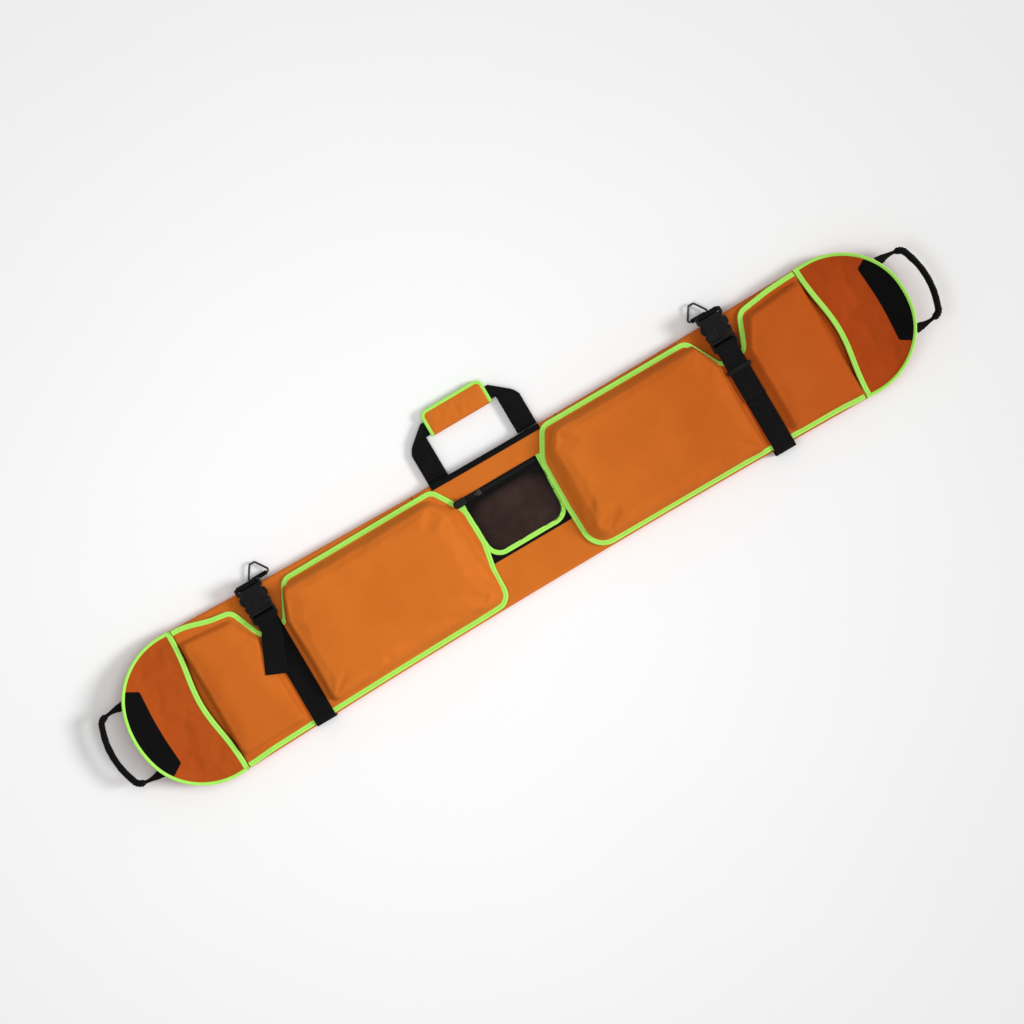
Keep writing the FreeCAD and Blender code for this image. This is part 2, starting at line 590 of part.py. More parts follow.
def arm(side):
    """One spring arm with its thumb pad, for the side x > 0 or x < 0."""
    y = SOCKET_MOUTH
    outer = [(17.5, y + 0.2, 0.5), (19.4, y + 12, 3), (20.4, y + 16, 2), (25.4, y + 16.4, 1), (28, y + 24, 6)]
    inner = [(25.6, y + 32, 2), (20, y + 34, 2), (16.6, y + 31, 2), (16.4, y + 14, 6), (12, y + 0.2, 0.5)]
    solid = plate([(side * px, py, r) for px, py, r in outer + inner], BUCKLE_Z - 3.1, BUCKLE_Z + 3.1)
    for i in range(4):
        groove = box(26.6, 30, y + 19.6 + 2.6 * i, y + 20.4 + 2.6 * i, 0, 60)
        solid = solid.cut(groove if side > 0 else mirror_x(groove))
    return solid


def strap_loop():
    """(y, z, radius) of the webbing round the plug's bar and over its frame, and its height below."""
    low, high = STRAP_Z + WEB_THICK + 0.4 + WEB_THICK / 2, BUCKLE_Z + 4.4 + WEB_THICK / 2
    turn = FRAME_END + 9.4 + 2.2 + 0.4 + WEB_THICK / 2
    return [(turn, low, 2.8), (turn, high, 2.8), (FRAME_END - 2, high, 4)], low


def straps(name, sign):
    half = WEBBING / 2
    far = -wall_y() + 4.0
    run = ribbon([(far, STRAP_Z + 0.8, 0), (FRAME_END + 2, STRAP_Z + 0.8, 0)], WEB_THICK, -half, half)
    save(f"{name}_strap", place(run, sign))
    save(f"{name}_socket", place(socket(), sign))
    save(f"{name}_plug_frame", place(plug_frame(), sign))
    save(f"{name}_left_arm", place(arm(-1), sign))
    save(f"{name}_right_arm", place(arm(1), sign))
    over_bar, low = strap_loop()
    if sign < 0:
        start = [(STRAP_END_Y - 2, low, 0)]
        finish = [(STRAP_END_Y + 4, low + 4.4, 4), (STRAP_END_Y + 0.6, low + 3.4, 0)]
        save("nose_strap_loop", place(ribbon(start + over_bar + finish, WEB_THICK, -half, half), sign))
        z = low + 3.2
        corners = [(-half, STRAP_END_Y, 0), (half, STRAP_END_Y, 0), (half - 28, -24, 2), (-half - 26, -11, 2)]
        end = plate(corners, z - WEB_THICK / 2, z + WEB_THICK / 2)
        end = end.cut(box(-60, 60, STRAP_END_Y - 0.8, STRAP_END_Y + 1, 0, 60))
        end.rotate(V(0, STRAP_END_Y - 0.4, z), V(1, 0, 0), -STRAP_END_TILT)
        save("nose_strap_end", place(end, sign))
    else:
        over_bar[0] = (over_bar[0][0], low + 3, 0)
        finish = [(STRAP_END_Y - 6, low, 6), (-31, low, 0)]
        save("tail_strap_end", place(ribbon(over_bar + finish, WEB_THICK, -half, half), sign))
        ring = soften(box(-23.6, 23.6, 27, 35, STRAP_Z - 2.1, low + 3.0), 1.2, lambda b: b.YLength > 7.9)
        ring = ring.cut(box(-20.5, 20.5, 20, 40, STRAP_Z - 0.4, low + 1.3))
        save("tail_keeper", place(ring, sign))


def fastening(name, sign):
    """Hook and loop strips along the flap's free edge."""
    for part, z0, z1 in (("loop_strip", 22.0, 22.8), ("hook_strip", 24.1, 25.0)):
        y = WAIST_HALF_WIDTH - 20.5
        strip = plate([(140, y - 16, 2), (400, y - 16, 2), (400, y, 2), (140, y, 2)], z0, z1)
        save(f"{name}_{part}", strip if sign > 0 else mirror_x(strip))


os.makedirs(OUT, exist_ok=True)
for old in os.listdir(OUT):
    if old.endswith(".step"):
        os.remove(os.path.join(OUT, old))

save("base_shell", base_shell())
save("base_padding", layer(SHELL + LAYER_GAP, SHELL + 0.2, SHELL + 0.2 + PADDING))
save("inner_board", layer(8, SHELL + PADDING + 0.6, SHELL + PADDING + 0.6 + BOARD))
save("centre_band", inside(-150, 150, -200))
save("nose_wrap", inside(-MOUTH_EDGE - 20, -150.3, 30))
save("tail_wrap", inside(150.3, MOUTH_EDGE + 20, 30))
for end_name, end_sign in (("nose", -1), ("tail", 1)):
    end_pocket(end_name, end_sign)
    flap(end_name, end_sign)
    fastening(end_name, end_sign)
    end_handle(end_name, end_sign)
    under_strap(end_name, end_sign)
    straps(end_name, end_sign)
mesh_pocket()
carry_handle()
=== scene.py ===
"""Looks of the padded snowboard sleeve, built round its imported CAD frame. Shapes are in millimetres until
they become meshes. Heights are above the base, which rises towards the tips, and lifted() makes them Z."""
import bpy
import math
import numpy as np
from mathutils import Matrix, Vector


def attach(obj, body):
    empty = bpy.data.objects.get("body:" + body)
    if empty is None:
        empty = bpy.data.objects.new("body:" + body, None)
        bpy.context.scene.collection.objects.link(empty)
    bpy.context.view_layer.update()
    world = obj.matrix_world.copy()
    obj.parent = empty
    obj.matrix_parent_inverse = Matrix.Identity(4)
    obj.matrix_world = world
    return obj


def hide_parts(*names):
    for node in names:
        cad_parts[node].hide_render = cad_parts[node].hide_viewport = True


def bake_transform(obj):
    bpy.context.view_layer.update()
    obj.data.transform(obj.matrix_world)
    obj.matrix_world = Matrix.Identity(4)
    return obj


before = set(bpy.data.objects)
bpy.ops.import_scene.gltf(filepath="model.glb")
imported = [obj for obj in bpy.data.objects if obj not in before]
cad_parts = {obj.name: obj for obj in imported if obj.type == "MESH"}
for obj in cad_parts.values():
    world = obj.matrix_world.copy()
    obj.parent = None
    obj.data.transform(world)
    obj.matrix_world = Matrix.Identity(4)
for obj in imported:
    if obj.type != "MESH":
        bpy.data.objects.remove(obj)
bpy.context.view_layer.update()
MM = 0.001

# the same plan and profile as the CAD part
HALF_LENGTH = 800.0
HALF_WIDTH = {-1: 144.0, 1: 134.0}
WAIST = 129.0
TIP_RADIUS = 190.0
SHOULDER_RADIUS = 125.0
KICK_START = 640.0
KICK_RADIUS = 366.0
MOUTH_EDGE = 650.0
MOUTH_BOW = 12.5
STRAP_X = {-1: 486.0, 1: 476.0}
STRAP_Z = 31.2
BUCKLE_Z = 38.0
BUCKLE_REAR = 147.0
FRAME_END = 72.0
FLAP_TOP = 28.2
LOBE_TOP = 60.0
SMALL_LOBE_TOP = 46.0
HANDLE_Z = 10.5
HANDLE_PIVOT = 133.4
LEG_X = 93.0
END_HANDLE_Z = 41.0
ENDS = (("nose", -1), ("tail", 1))

SEAM = 5.2       # from a tape's outer edge to its stitches
OVER_BAR = 1.2   # from a bar's surface to the middle of the webbing round it
SHARP = 0.05     # a corner with a smaller radius stays sharp
STRAIGHT = 1.56  # half the angle at a corner that hardly turns
CHUNK = 3000     # points measured at a time, to save memory


# --- plan geometry ---
def lifted(x, h):
    """Z of a height above the base, which curves up beyond KICK_START."""
    past = np.clip(np.abs(x) - KICK_START, 0, None)
    return KICK_RADIUS - np.sqrt(np.maximum((KICK_RADIUS - h) ** 2 - past ** 2, 1.0))


def arc(cx, cy, r, a0, a1, n):
    """Points on an arc and the directions from its centre."""
    a = np.linspace(a0, a1, n)
    out = np.stack([np.cos(a), np.sin(a)], 1)
    return np.array([cx, cy]) + r * out, out


def upper_edge(step=4.0):
    """The outline for y > 0 from the nose's end to the tail's end, with outward directions."""
    parts = {}
    for sign in (-1, 1):
        rise = HALF_WIDTH[sign] - SHOULDER_RADIUS
        centre = HALF_LENGTH - TIP_RADIUS
        sx = centre + math.sqrt((TIP_RADIUS - SHOULDER_RADIUS) ** 2 - rise ** 2)
        turn = math.atan2(rise, sx - centre)
        tip = arc(centre, 0, TIP_RADIUS, 0, turn, int(TIP_RADIUS * turn / step) + 2)
        count = int(SHOULDER_RADIUS * (1.57 - turn) / step) + 2
        shoulder = arc(sx, rise, SHOULDER_RADIUS, turn, math.pi / 2, count)
        points = np.concatenate([tip[0], shoulder[0][1:]])
        out = np.concatenate([tip[1], shoulder[1][1:]])
        parts[sign] = (points * [sign, 1], out * [sign, 1], sx)
    # one circle through both shoulders and the waist
    a, b, c = np.array([(-parts[-1][2], HALF_WIDTH[-1]), (0.0, WAIST), (parts[1][2], HALF_WIDTH[1])])
    cx, cy = np.linalg.solve(2 * np.array([b - a, c - a]), [b @ b - a @ a, c @ c - a @ a])
    r = math.hypot(a[0] - cx, a[1] - cy)
    x = np.linspace(a[0], c[0], int((c[0] - a[0]) / step))[1:-1]
    edge = np.stack([x, cy - np.sqrt(r * r - (x - cx) ** 2)], 1)
    out = (np.array([cx, cy]) - edge) / r
    points = np.concatenate([parts[-1][0], edge, parts[1][0][::-1]])
    return points, np.concatenate([parts[-1][1], out, parts[1][1][::-1]])


EDGE, EDGE_OUT = upper_edge()


def half_width(x):
    return np.interp(x, EDGE[:, 0], EDGE[:, 1])


def in_chunks(measure, x, y):
    """measure(points) at every x, y, a chunk at a time."""
    p = np.stack([np.ravel(x), np.ravel(y)], 1)
    parts = [measure(p[i:i + CHUNK]) for i in range(0, len(p), CHUNK)]
    return np.concatenate(parts).reshape(np.shape(x))


def outline_distance(x, y):
    """Distance inside the outline, from its nearest sample."""
    def measure(p):
        k = np.hypot(p[:, None, 0] - EDGE[None, :, 0], p[:, None, 1] - EDGE[None, :, 1]).argmin(1)
        return ((EDGE[k] - p) * EDGE_OUT[k]).sum(1)

    return in_chunks(measure, x, np.abs(y))


def to_segments(p, a, d):
    """Distance from each point to the nearest of the segments that run from a by d."""
    q = p[:, None, :] - a
    t = np.clip((q * d).sum(2) / np.maximum((d ** 2).sum(1), 1e-9), 0, 1)
    return np.sqrt(((q - t[..., None] * d) ** 2).sum(2)).min(1)


def path_distance(x, y, path):
    """Distance from an open polyline."""
    return in_chunks(lambda p: to_segments(p, path[:-1], np.diff(path, axis=0)), x, y)


def polygon_distance(x, y, loop):
    """Distance inside a closed polyline: positive inside, negative outside."""
    a, b = loop, np.roll(loop, -1, 0)
    d = b - a
    rise = np.where(d[:, 1] == 0, 1e-9, d[:, 1])

    def measure(p):
        near = to_segments(p, a, d)
        px, py = p[:, None, 0], p[:, None, 1]
        crossed = ((a[:, 1] > py) != (b[:, 1] > py)) & (px < d[:, 0] * (py - a[:, 1]) / rise + a[:, 0])
        return np.where(crossed.sum(1) % 2 == 1, near, -near)

    return in_chunks(measure, x, y)


def rounded(corners, step=1.6, least=4):
    """A polyline through (u, v, radius) corners. One that is sharp or hardly turns stays a single point."""
    points = []
    for i, (u, v, r) in enumerate(corners):
        p = np.array([u, v], float)
        a = np.array(corners[i - 1][:2]) - p
        b = np.array(corners[(i + 1) % len(corners)][:2]) - p
        a, b = a / np.linalg.norm(a), b / np.linalg.norm(b)
        half = math.acos(np.clip(a @ b, -1, 1)) / 2
        if r < SHARP or half > STRAIGHT:
            points.append(p)
            continue
        centre = p + (a + b) / np.linalg.norm(a + b) * r / math.sin(half)
        start, end = p + a * r / math.tan(half), p + b * r / math.tan(half)
        first = math.atan2(*(start - centre)[::-1])
        turn = (math.atan2(*(end - centre)[::-1]) - first + math.pi) % (2 * math.pi) - math.pi
        for t in np.linspace(first, first + turn, max(least, int(abs(turn) * r / step) + least - 1)):
            points.append(centre + r * np.array([math.cos(t), math.sin(t)]))
    return np.array(points)


def rounded_loop(corners):
    return rounded(corners, 2.5, 3)


def along(path):
    """Length along a path at each of its points."""
    return np.concatenate([[0], np.cumsum(np.linalg.norm(np.diff(path, axis=0), axis=1))])


def resample(points, step, closed=False):
    """The polyline with even steps."""
    p = np.vstack([points, points[:1]]) if closed else np.asarray(points, float)
    length = along(p)
    t = np.linspace(0, length[-1], max(3, int(round(length[-1] / step))) + 1)
    out = np.stack([np.interp(t, length, p[:, k]) for k in range(p.shape[1])], 1)
    return out[:-1] if closed else out


def unit(v):
    return v / np.linalg.norm(v, axis=1, keepdims=True)


def inward(path):
    """Unit directions to the left of an open path."""
    t = unit(np.gradient(path, axis=0))
    return np.stack([-t[:, 1], t[:, 0]], 1)


def smooth(t):
    t = np.clip(t, 0, 1)
    return t * t * (3 - 2 * t)


def between(value, i, j, u, v):
    """A lattice value at shares u and v of the way from place (i, j) to the next."""
    low = value(i, j) * (1 - u) + value(i + 1, j) * u
    high = value(i, j + 1) * (1 - u) + value(i + 1, j + 1) * u
    return low * (1 - v) + high * v


def noise2(x, y, size, seed):
    """Smooth random values between -1 and 1 that vary over the size."""
    table = np.random.default_rng(seed).uniform(-1, 1, (128, 128))
    u, v = np.asarray(x) / size + 40, np.asarray(y) / size + 40
    i, j = np.floor(u).astype(int), np.floor(v).astype(int)
    return between(lambda a, b: table[a % 128, b % 128], i, j, smooth(u - i), smooth(v - j))


def waves(x, y, *layers):
    """Random waves as a sum of (size, seed, rise) layers."""
    return sum(noise2(x, y, size, seed) * rise for size, seed, rise in layers)


# --- mesh building ---
def lattice(rows, cols, wrap_rows=False, wrap_cols=False):
    """Quads of a rows by cols lattice of points."""
    r = np.arange(rows if wrap_rows else rows - 1)
    c = np.arange(cols if wrap_cols else cols - 1)
    i, j = np.meshgrid(r, c, indexing="ij")
    i, j = i.ravel(), j.ravel()
    i2, j2 = (i + 1) % rows, (j + 1) % cols
    return np.stack([i * cols + j, i2 * cols + j, i2 * cols + j2, i * cols + j2], 1)


def swept(rows, cols):
    """Faces of a tube of rows rings with cols points each, closed at both ends."""
    last = (rows - 1) * cols
    return list(lattice(rows, cols, wrap_cols=True)) + [range(cols)[::-1], range(last, last + cols)]


def on_cloth(u, v):
    """Each point's place on the cloth: u along it and v across it."""
    return np.stack(np.broadcast_arrays(u, v), 2).reshape(-1, 2)


def solidify(ob, thickness):
    mod = ob.modifiers.new("thickness", "SOLIDIFY")
    mod.thickness, mod.offset = thickness * MM, -1


def piece(name, verts, faces, look, body="sleeve", nodes=(), weave=None, flip=False, cloth=None):
    """A mesh piece from millimetre points. nodes are the CAD nodes it stands for, weave is each point's place
    on the cloth, flip turns the faces round, and cloth is the thickness a sheet gets."""
    me = bpy.data.meshes.new(name)
    faces = [list(map(int, f[::-1] if flip else f)) for f in faces]
    me.from_pydata((np.asarray(verts, float) * MM).tolist(), [], faces)
    me.update()
    if weave is not None:
        w = np.zeros((len(verts), 3), np.float32)
        w[:, :2] = weave
        me.attributes.new("weave", "FLOAT_VECTOR", "POINT").data.foreach_set("vector", w.ravel())
    me.polygons.foreach_set("use_smooth", [True] * len(me.polygons))
    me.materials.append(M[look])
    ob = bpy.data.objects.new(name, me)
    bpy.context.scene.collection.objects.link(ob)
    if body:
        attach(ob, body)
    if nodes:
        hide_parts(*nodes)
    if cloth:
        solidify(ob, cloth)
    return ob


def sweep(name, pts, path, across, look, **kw):
    """A tube through rings of points, one ring for each point of the path. across is a ring's places on the
    cloth."""
    weave = on_cloth(along(path)[:, None], across[None])
    return piece(name, pts.reshape(-1, 3), swept(*pts.shape[:2]), look, weave=weave, **kw)


def tape(name, path, profile, look, side, ground=None, **kw):
    """A closed section swept along a plan path. The section is (distance along side, height) pairs."""
    profile = np.asarray(profile, float)
    xy = path[:, None, :] + side[:, None, :] * profile[None, :, :1]
    h = np.broadcast_to(profile[None, :, 1], xy.shape[:2]).copy()
    if ground is not None:
        h += ground(xy[..., 0], xy[..., 1])
    pts = np.concatenate([xy, lifted(xy[..., 0], h)[..., None]], 2)
    return sweep(name, pts, path, profile[:, 0], look, **kw)


def band_section(width, thick):
    """Webbing's cross section: thin, with rounded and slightly thicker woven edges."""
    w, t = width / 2, thick / 2
    top = [(-w, 0.0), (-w + 0.25, t * 0.9), (-w + 1.2, t * 1.12), (-w + 2.4, t * 0.92)]
    top += [(x, t) for x in np.linspace(-w + 4, w - 4, 9)]
    top += [(-a, b) for a, b in top[3::-1]]
    return np.array(top + [(a, -b) for a, b in top[-2:0:-1]])


def band(name, path, side=(1, 0, 0), width=40.0, thick=1.6, widths=None, **kw):
    """Webbing along a 3-D path. side is the direction across it, one for all points or one per point."""
    path = np.asarray(path, float)
    s = unit(np.broadcast_to(np.asarray(side, float), path.shape))
    n = unit(np.cross(unit(np.gradient(path, axis=0)), s))
    section = band_section(width, thick)
    scale = np.ones(len(path)) if widths is None else widths / width
    flat = s[:, None] * (section[None, :, :1] * scale[:, None, None])
    pts = path[:, None] + flat + n[:, None] * section[None, :, 1:]
    return sweep(name, pts, path, section[:, 0], "webbing", **kw)


def yz(corners, x):
    """(y, z, radius) corners as a rounded path in the plane at x."""
    p = resample(rounded(corners), 2.0)
    return np.stack([np.full(len(p), x), p[:, 0], p[:, 1]], 1)


def masked_grid(xs, ys, keep=None):
    """Points and quads of the lattice, or of those cells only whose centre is kept."""
    x, y = np.meshgrid(xs, ys, indexing="ij")
    quads = lattice(len(xs), len(ys))
    if keep:
        quads = quads[keep(x.ravel()[quads].mean(1), y.ravel()[quads].mean(1))]
    used, index = np.unique(quads, return_inverse=True)
    return x.ravel()[used], y.ravel()[used], index.reshape(quads.shape)


def billow(xs, ys, shape, pinned, pressure=3.0, cap=4.0, slack=0.002):
    """A short cloth simulation of a panel on a coarse lattice: how far each place moves, as a function of
    (x, y). The panel has a little slack and air pressure under it, and stays put where pinned says so."""
    x, y = np.meshgrid(xs, ys, indexing="ij")
    start = shape(x, y)
    me = bpy.data.meshes.new("panel_cloth")
    me.from_pydata((start.reshape(-1, 3) * MM).tolist(), [], lattice(len(xs), len(ys)).tolist())
    ob = bpy.data.objects.new("panel_cloth", me)
    bpy.context.scene.collection.objects.link(ob)
    group = ob.vertex_groups.new(name="pinned")
    group.add([int(i) for i in np.nonzero(pinned(x, y).ravel())[0]], 1.0, "REPLACE")
    mod = ob.modifiers.new("cloth", "CLOTH")
    cloth = mod.settings
    cloth.quality, cloth.mass = 5, 0.3
    cloth.tension_stiffness = cloth.compression_stiffness = 25
    cloth.shear_stiffness, cloth.bending_stiffness = 8, 4
    cloth.use_pressure, cloth.uniform_pressure_force = True, pressure
    cloth.vertex_group_mass, cloth.shrink_min = "pinned", -slack
    cloth.effector_weights.gravity = 0
    mod.collision_settings.use_collision = False
    mod.point_cache.frame_start, mod.point_cache.frame_end = 1, 20
    for frame_number in range(1, 21):
        bpy.context.scene.frame_set(frame_number)
    done = ob.evaluated_get(bpy.context.evaluated_depsgraph_get()).to_mesh()
    end = np.empty(len(done.vertices) * 3)
    done.vertices.foreach_get("co", end)
    moved = end.reshape(start.shape) / MM - start
    size = np.linalg.norm(moved, axis=2, keepdims=True)
    moved = moved * np.minimum(1, cap / np.maximum(size, 1e-6))
    bpy.data.objects.remove(ob)
    bpy.context.scene.frame_set(1)

    def at(px, py):
        u = np.clip((px - xs[0]) / (xs[1] - xs[0]), 0, len(xs) - 1.001)
        v = np.clip((py - ys[0]) / (ys[1] - ys[0]), 0, len(ys) - 1.001)
        i, j = u.astype(int), v.astype(int)
        return between(lambda a, b: moved[a, b], i, j, (u - i)[..., None], (v - j)[..., None])

    return at


def stitches(name, line, z, body="sleeve", up=1, pitch=3.2, length=2.3):
    """A row of thread stitches that lies on a surface, along a plan line at the heights z."""
    path = np.column_stack([line, np.broadcast_to(z, len(line))])
    d = along(path)
    starts = np.arange(pitch, d[-1] - pitch, pitch)
    a = np.stack([np.interp(starts, d, path[:, k]) for k in range(3)], 1)
    b = np.stack([np.interp(starts + length, d, path[:, k]) for k in range(3)], 1)
    u = np.array([[0.0, 0.0, up]])
    s = unit(np.cross(u, unit(b - a)))
    width, height = 0.55, 0.32
    ring = [(0.5, 0.0), (0.3, 0.8), (-0.3, 0.8), (-0.5, 0.0), (0, -0.6)]
    spots = [(0.0, 0.35, -0.5), (0.2, 1.0, 0.2), (0.8, 1.0, 0.2), (1.0, 0.35, -0.5)]
    verts = []
    for where, grow, lift in spots:
        for p, q in ring:
            up_by = height * (q * grow + lift * 0.6)
            verts.append(a + (b - a) * where + s * (p * width * grow) + u * up_by)
    one = [list(f) for f in swept(len(spots), len(ring))]
    faces = [[v + i * len(verts) for v in f] for i in range(len(starts)) for f in one]
    piece(name, np.stack(verts, 1).reshape(-1, 3), faces, "thread", body)


# --- materials ---
def rgba(colour):
    return (*colour, 1) if isinstance(colour, tuple) else colour


def scaled(colour, factor, lift=0.0):
    return tuple(c * factor + lift for c in colour)


class Shader:
    """A small helper that adds and joins nodes of one material."""

    def __init__(self, name, colour, rough, sheen=0.0, coat=0.0, specular=0.5):
        self.mat = bpy.data.materials.new(name)
        self.mat.use_nodes = True
        self.tree = self.mat.node_tree
        self.out = self.tree.nodes["Principled BSDF"]
        values = {"Base Color": (*colour, 1), "Roughness": rough, "Coat Weight": coat,
                  "Sheen Weight": sheen, "Sheen Roughness": 0.5, "Specular IOR Level": specular}
        for key, value in values.items():
            self.out.inputs[key].default_value = value
        self.mat.diffuse_color = (*colour, 1)

    def node(self, kind, *values, **settings):
        n = self.tree.nodes.new("ShaderNode" + kind)
        for key, value in settings.items():
            setattr(n, key, value)
        for i, value in enumerate(values):
            self.put(n.inputs[i], value)
        return n

    def put(self, socket, value):
        if isinstance(value, bpy.types.NodeSocket):
            self.tree.links.new(value, socket)
        elif value is not None:
            socket.default_value = value

    def math(self, operation, a, b=None, c=None):
        return self.node("Math", a, b, c, operation=operation).outputs[0]

    def times(self, a, b):
        return self.math("MULTIPLY", a, b)

    def mix(self, share, a, b):
        n = self.node("Mix", data_type="RGBA")
        for key, value in (("Factor", share), ("A", rgba(a)), ("B", rgba(b))):
            self.put(n.inputs[key], value)
        return next(o for o in n.outputs if o.type == "RGBA")

    def weave(self):
        """Along and across on the cloth, in millimetres."""
        a = self.node("Attribute", attribute_name="weave")
        return self.node("SeparateXYZ", a.outputs["Vector"]).outputs[:2]

    def place(self, scale=1.0):
        m = self.node("Mapping", self.node("TexCoord").outputs["Object"])
        m.inputs["Scale"].default_value = (scale,) * 3
        return m.outputs[0]

    def plan(self):
        """X and Y on the object, in millimetres."""
        return self.node("SeparateXYZ", self.place(1 / MM)).outputs[:2]

    def noise(self, scale, detail=3.0):
        n = self.node("TexNoise")
        self.put(n.inputs["Vector"], self.place())
        for key, value in (("Scale", scale), ("Detail", detail), ("Roughness", 0.55)):
            n.inputs[key].default_value = value
        return n.outputs["Fac"]

    def wave(self, value, pitch):
        """A sine between 0 and 1 with the pitch."""
        return self.math("MULTIPLY_ADD", self.math("SINE", self.times(value, 2 * math.pi / pitch)), 0.5, 0.5)

    def spread(self, value, low, high):
        return self.node("MapRange", value, low, high, 0.0, 1.0, clamp=True).outputs[0]

    def colour(self, socket):
        self.put(self.out.inputs["Base Color"], socket)

    def rough(self, value, low, high):
        self.put(self.out.inputs["Roughness"], self.node("MapRange", value, 0.0, 1.0, low, high).outputs[0])

    def bump(self, height, distance, strength, after=None):
        n = self.node("Bump")
        values = {"Strength": strength, "Distance": distance * MM, "Height": height, "Normal": after}
        for key, value in values.items():
            self.put(n.inputs[key], value)
        self.put(self.out.inputs["Normal"], n.outputs[0])
        return n.outputs[0]


def knit(name, light, dark):
    """Stretch knit over neoprene: fine ribs, faint blotches, and painted shade that deepens the colour
    towards both ends.
    """
    s = Shader(name, light, 0.85, specular=0.08)
    x, y = s.plan()
    ribs = s.wave(x, 0.9)
    rows = s.wave(y, 0.9)
    # painted shade: reach grows from the middle towards both ends, more towards the tail, and darkens the
    # knit there
    reach = s.spread(s.math("ABSOLUTE", s.math("ADD", x, 150.0)), 250.0, 800.0)
    fine = s.times(ribs, rows)
    blotch = s.spread(s.noise(9.0, 4.0), 0.32, 0.7)
    speck = s.noise(900.0, 2.0)
    tone = s.mix(blotch, light, dark)
    tone = s.mix(s.times(s.spread(speck, 0.45, 0.8), 0.35), tone, scaled(dark, 0.72))
    tone = s.mix(s.times(fine, 0.12), tone, scaled(light, 1.25))
    # the deep red-orange of the painted shade at the ends
    painted_shade_orange = (0.36, 0.02, 0.001)
    s.colour(s.mix(s.times(reach, 0.5), tone, painted_shade_orange))
    s.rough(s.noise(60.0), 0.74, 0.9)
    coarse = s.bump(s.noise(26.0), 1.1, 0.35)
    s.bump(fine, 0.12, 0.6, after=coarse)
    return s.mat


def folded_tape():
    """Bright knitted binding tape with ribs across it, and painted shade in the groove where it is sewn and
    along the edge where it turns down.
    """
    lime, rib_and_shade_lime = (0.44, 0.90, 0.14), (0.26, 0.66, 0.06)
    s = Shader("lime_tape", lime, 0.75, sheen=0.05, specular=0.15)
    u, v = s.weave()
    ribs = s.wave(u, 0.8)
    # painted shade: the groove at the stitches and the edge where the tape turns down are darkened
    groove_shade = s.math("SUBTRACT", 1.0, s.spread(s.math("ABSOLUTE", s.math("SUBTRACT", v, SEAM)), 0.3, 1.0))
    edge = s.spread(v, 8.6, 9.8)
    dark = s.math("MAXIMUM", s.times(groove_shade, 0.35), s.times(edge, 0.45))
    tone = s.mix(s.times(s.spread(s.noise(60.0), 0.35, 0.75), 0.4), lime, (0.33, 0.78, 0.10))
    tone = s.mix(s.times(ribs, 0.12), tone, rib_and_shade_lime)
    s.colour(s.mix(dark, tone, rib_and_shade_lime))
    s.bump(ribs, 0.1, 0.6)
    return s.mat


def webbing(name, base=0.0035, light=0.009):
    """Black polyester webbing: herringbone ribs, rubbed spots and a slight shine."""
    s = Shader(name, (base,) * 3, 0.75, specular=0.07)
    u, v = s.weave()
    lean = s.math("PINGPONG", v, 5.0)
    slant = s.math("ADD", u, s.times(lean, 0.9))
    twill = s.wave(slant, 1.9)
    cords = s.wave(v, 1.25)
    high = s.math("MULTIPLY_ADD", twill, 0.65, s.times(cords, 0.35))
    worn = s.spread(s.noise(120.0, 4.0), 0.4, 0.8)
    tone = s.mix(s.times(high, 0.8), (base * 0.5,) * 3, (light,) * 3)
    s.colour(s.mix(s.times(worn, 0.35), tone, (light * 1.2, light * 1.2, light * 1.25)))
    s.rough(high, 0.7, 0.5)
    s.bump(high, 0.28, 0.8)
    return s.mat


def plain_cloth(name, colour, light, pitch=1.1, rough=0.8, depth=0.12):
    """A plain one-over-one weave."""
    s = Shader(name, colour, rough, specular=0.08)
    x, y = s.plan()
    over = s.math("ABSOLUTE", s.math("SUBTRACT", s.wave(x, pitch), s.wave(y, pitch)))
    tone = s.mix(over, colour, light)
    s.colour(s.mix(s.times(s.spread(s.noise(30.0, 4.0), 0.4, 0.8), 0.4), tone, scaled(light, 1.5)))
    s.bump(over, depth, 0.7)
    return s.mat


def moulded(name, colour, rough=0.46, grain=0.05):
    """Moulded plastic with a fine grain, faint flow marks and rubbed spots."""
    s = Shader(name, colour, rough, specular=0.22)
    grainy = s.noise(1800.0, 2.0)
    marks = s.spread(s.noise(70.0, 5.0), 0.45, 0.8)
    s.colour(s.mix(s.times(marks, 0.5), colour, scaled(colour, 1.9, 0.004)))
    s.rough(marks, rough - 0.06, rough + 0.16)
    s.bump(grainy, grain, 0.5)
    return s.mat


def coated_wire():
    """Black coated wire with a few chips."""
    s = Shader("coated_wire", (0.02, 0.02, 0.022), 0.34, coat=0.3, specular=0.6)
    chips = s.spread(s.noise(420.0, 5.0), 0.66, 0.7)
    s.colour(s.mix(s.times(chips, 0.6), (0.018, 0.018, 0.02), (0.12, 0.12, 0.125)))
    s.rough(s.noise(90.0), 0.28, 0.5)
    s.bump(s.noise(260.0), 0.06, 0.5)
    return s.mat


def net():
    """Brownish net thread, with painted shade that darkens it towards the pocket's edges."""
    s = Shader("net_thread", (0.05, 0.03, 0.025), 0.7, specular=0.15)
    x, y = s.plan()
    # painted shade: the thread goes near black towards the pocket's edges
    painted_edge_shade = s.math("ADD", s.math("POWER", s.math("DIVIDE", x, 74.0), 4.0),
                 s.math("POWER", s.math("DIVIDE", s.math("SUBTRACT", y, 10.0), 52.0), 4.0))
    tone = s.mix(s.spread(s.noise(24.0, 5.0), 0.35, 0.7), (0.036, 0.020, 0.016), (0.066, 0.038, 0.030))
    s.colour(s.mix(s.spread(painted_edge_shade, 0.2, 1.3), tone, (0.006, 0.005, 0.005)))
    s.bump(s.noise(1500.0), 0.05, 0.5)
    return s.mat


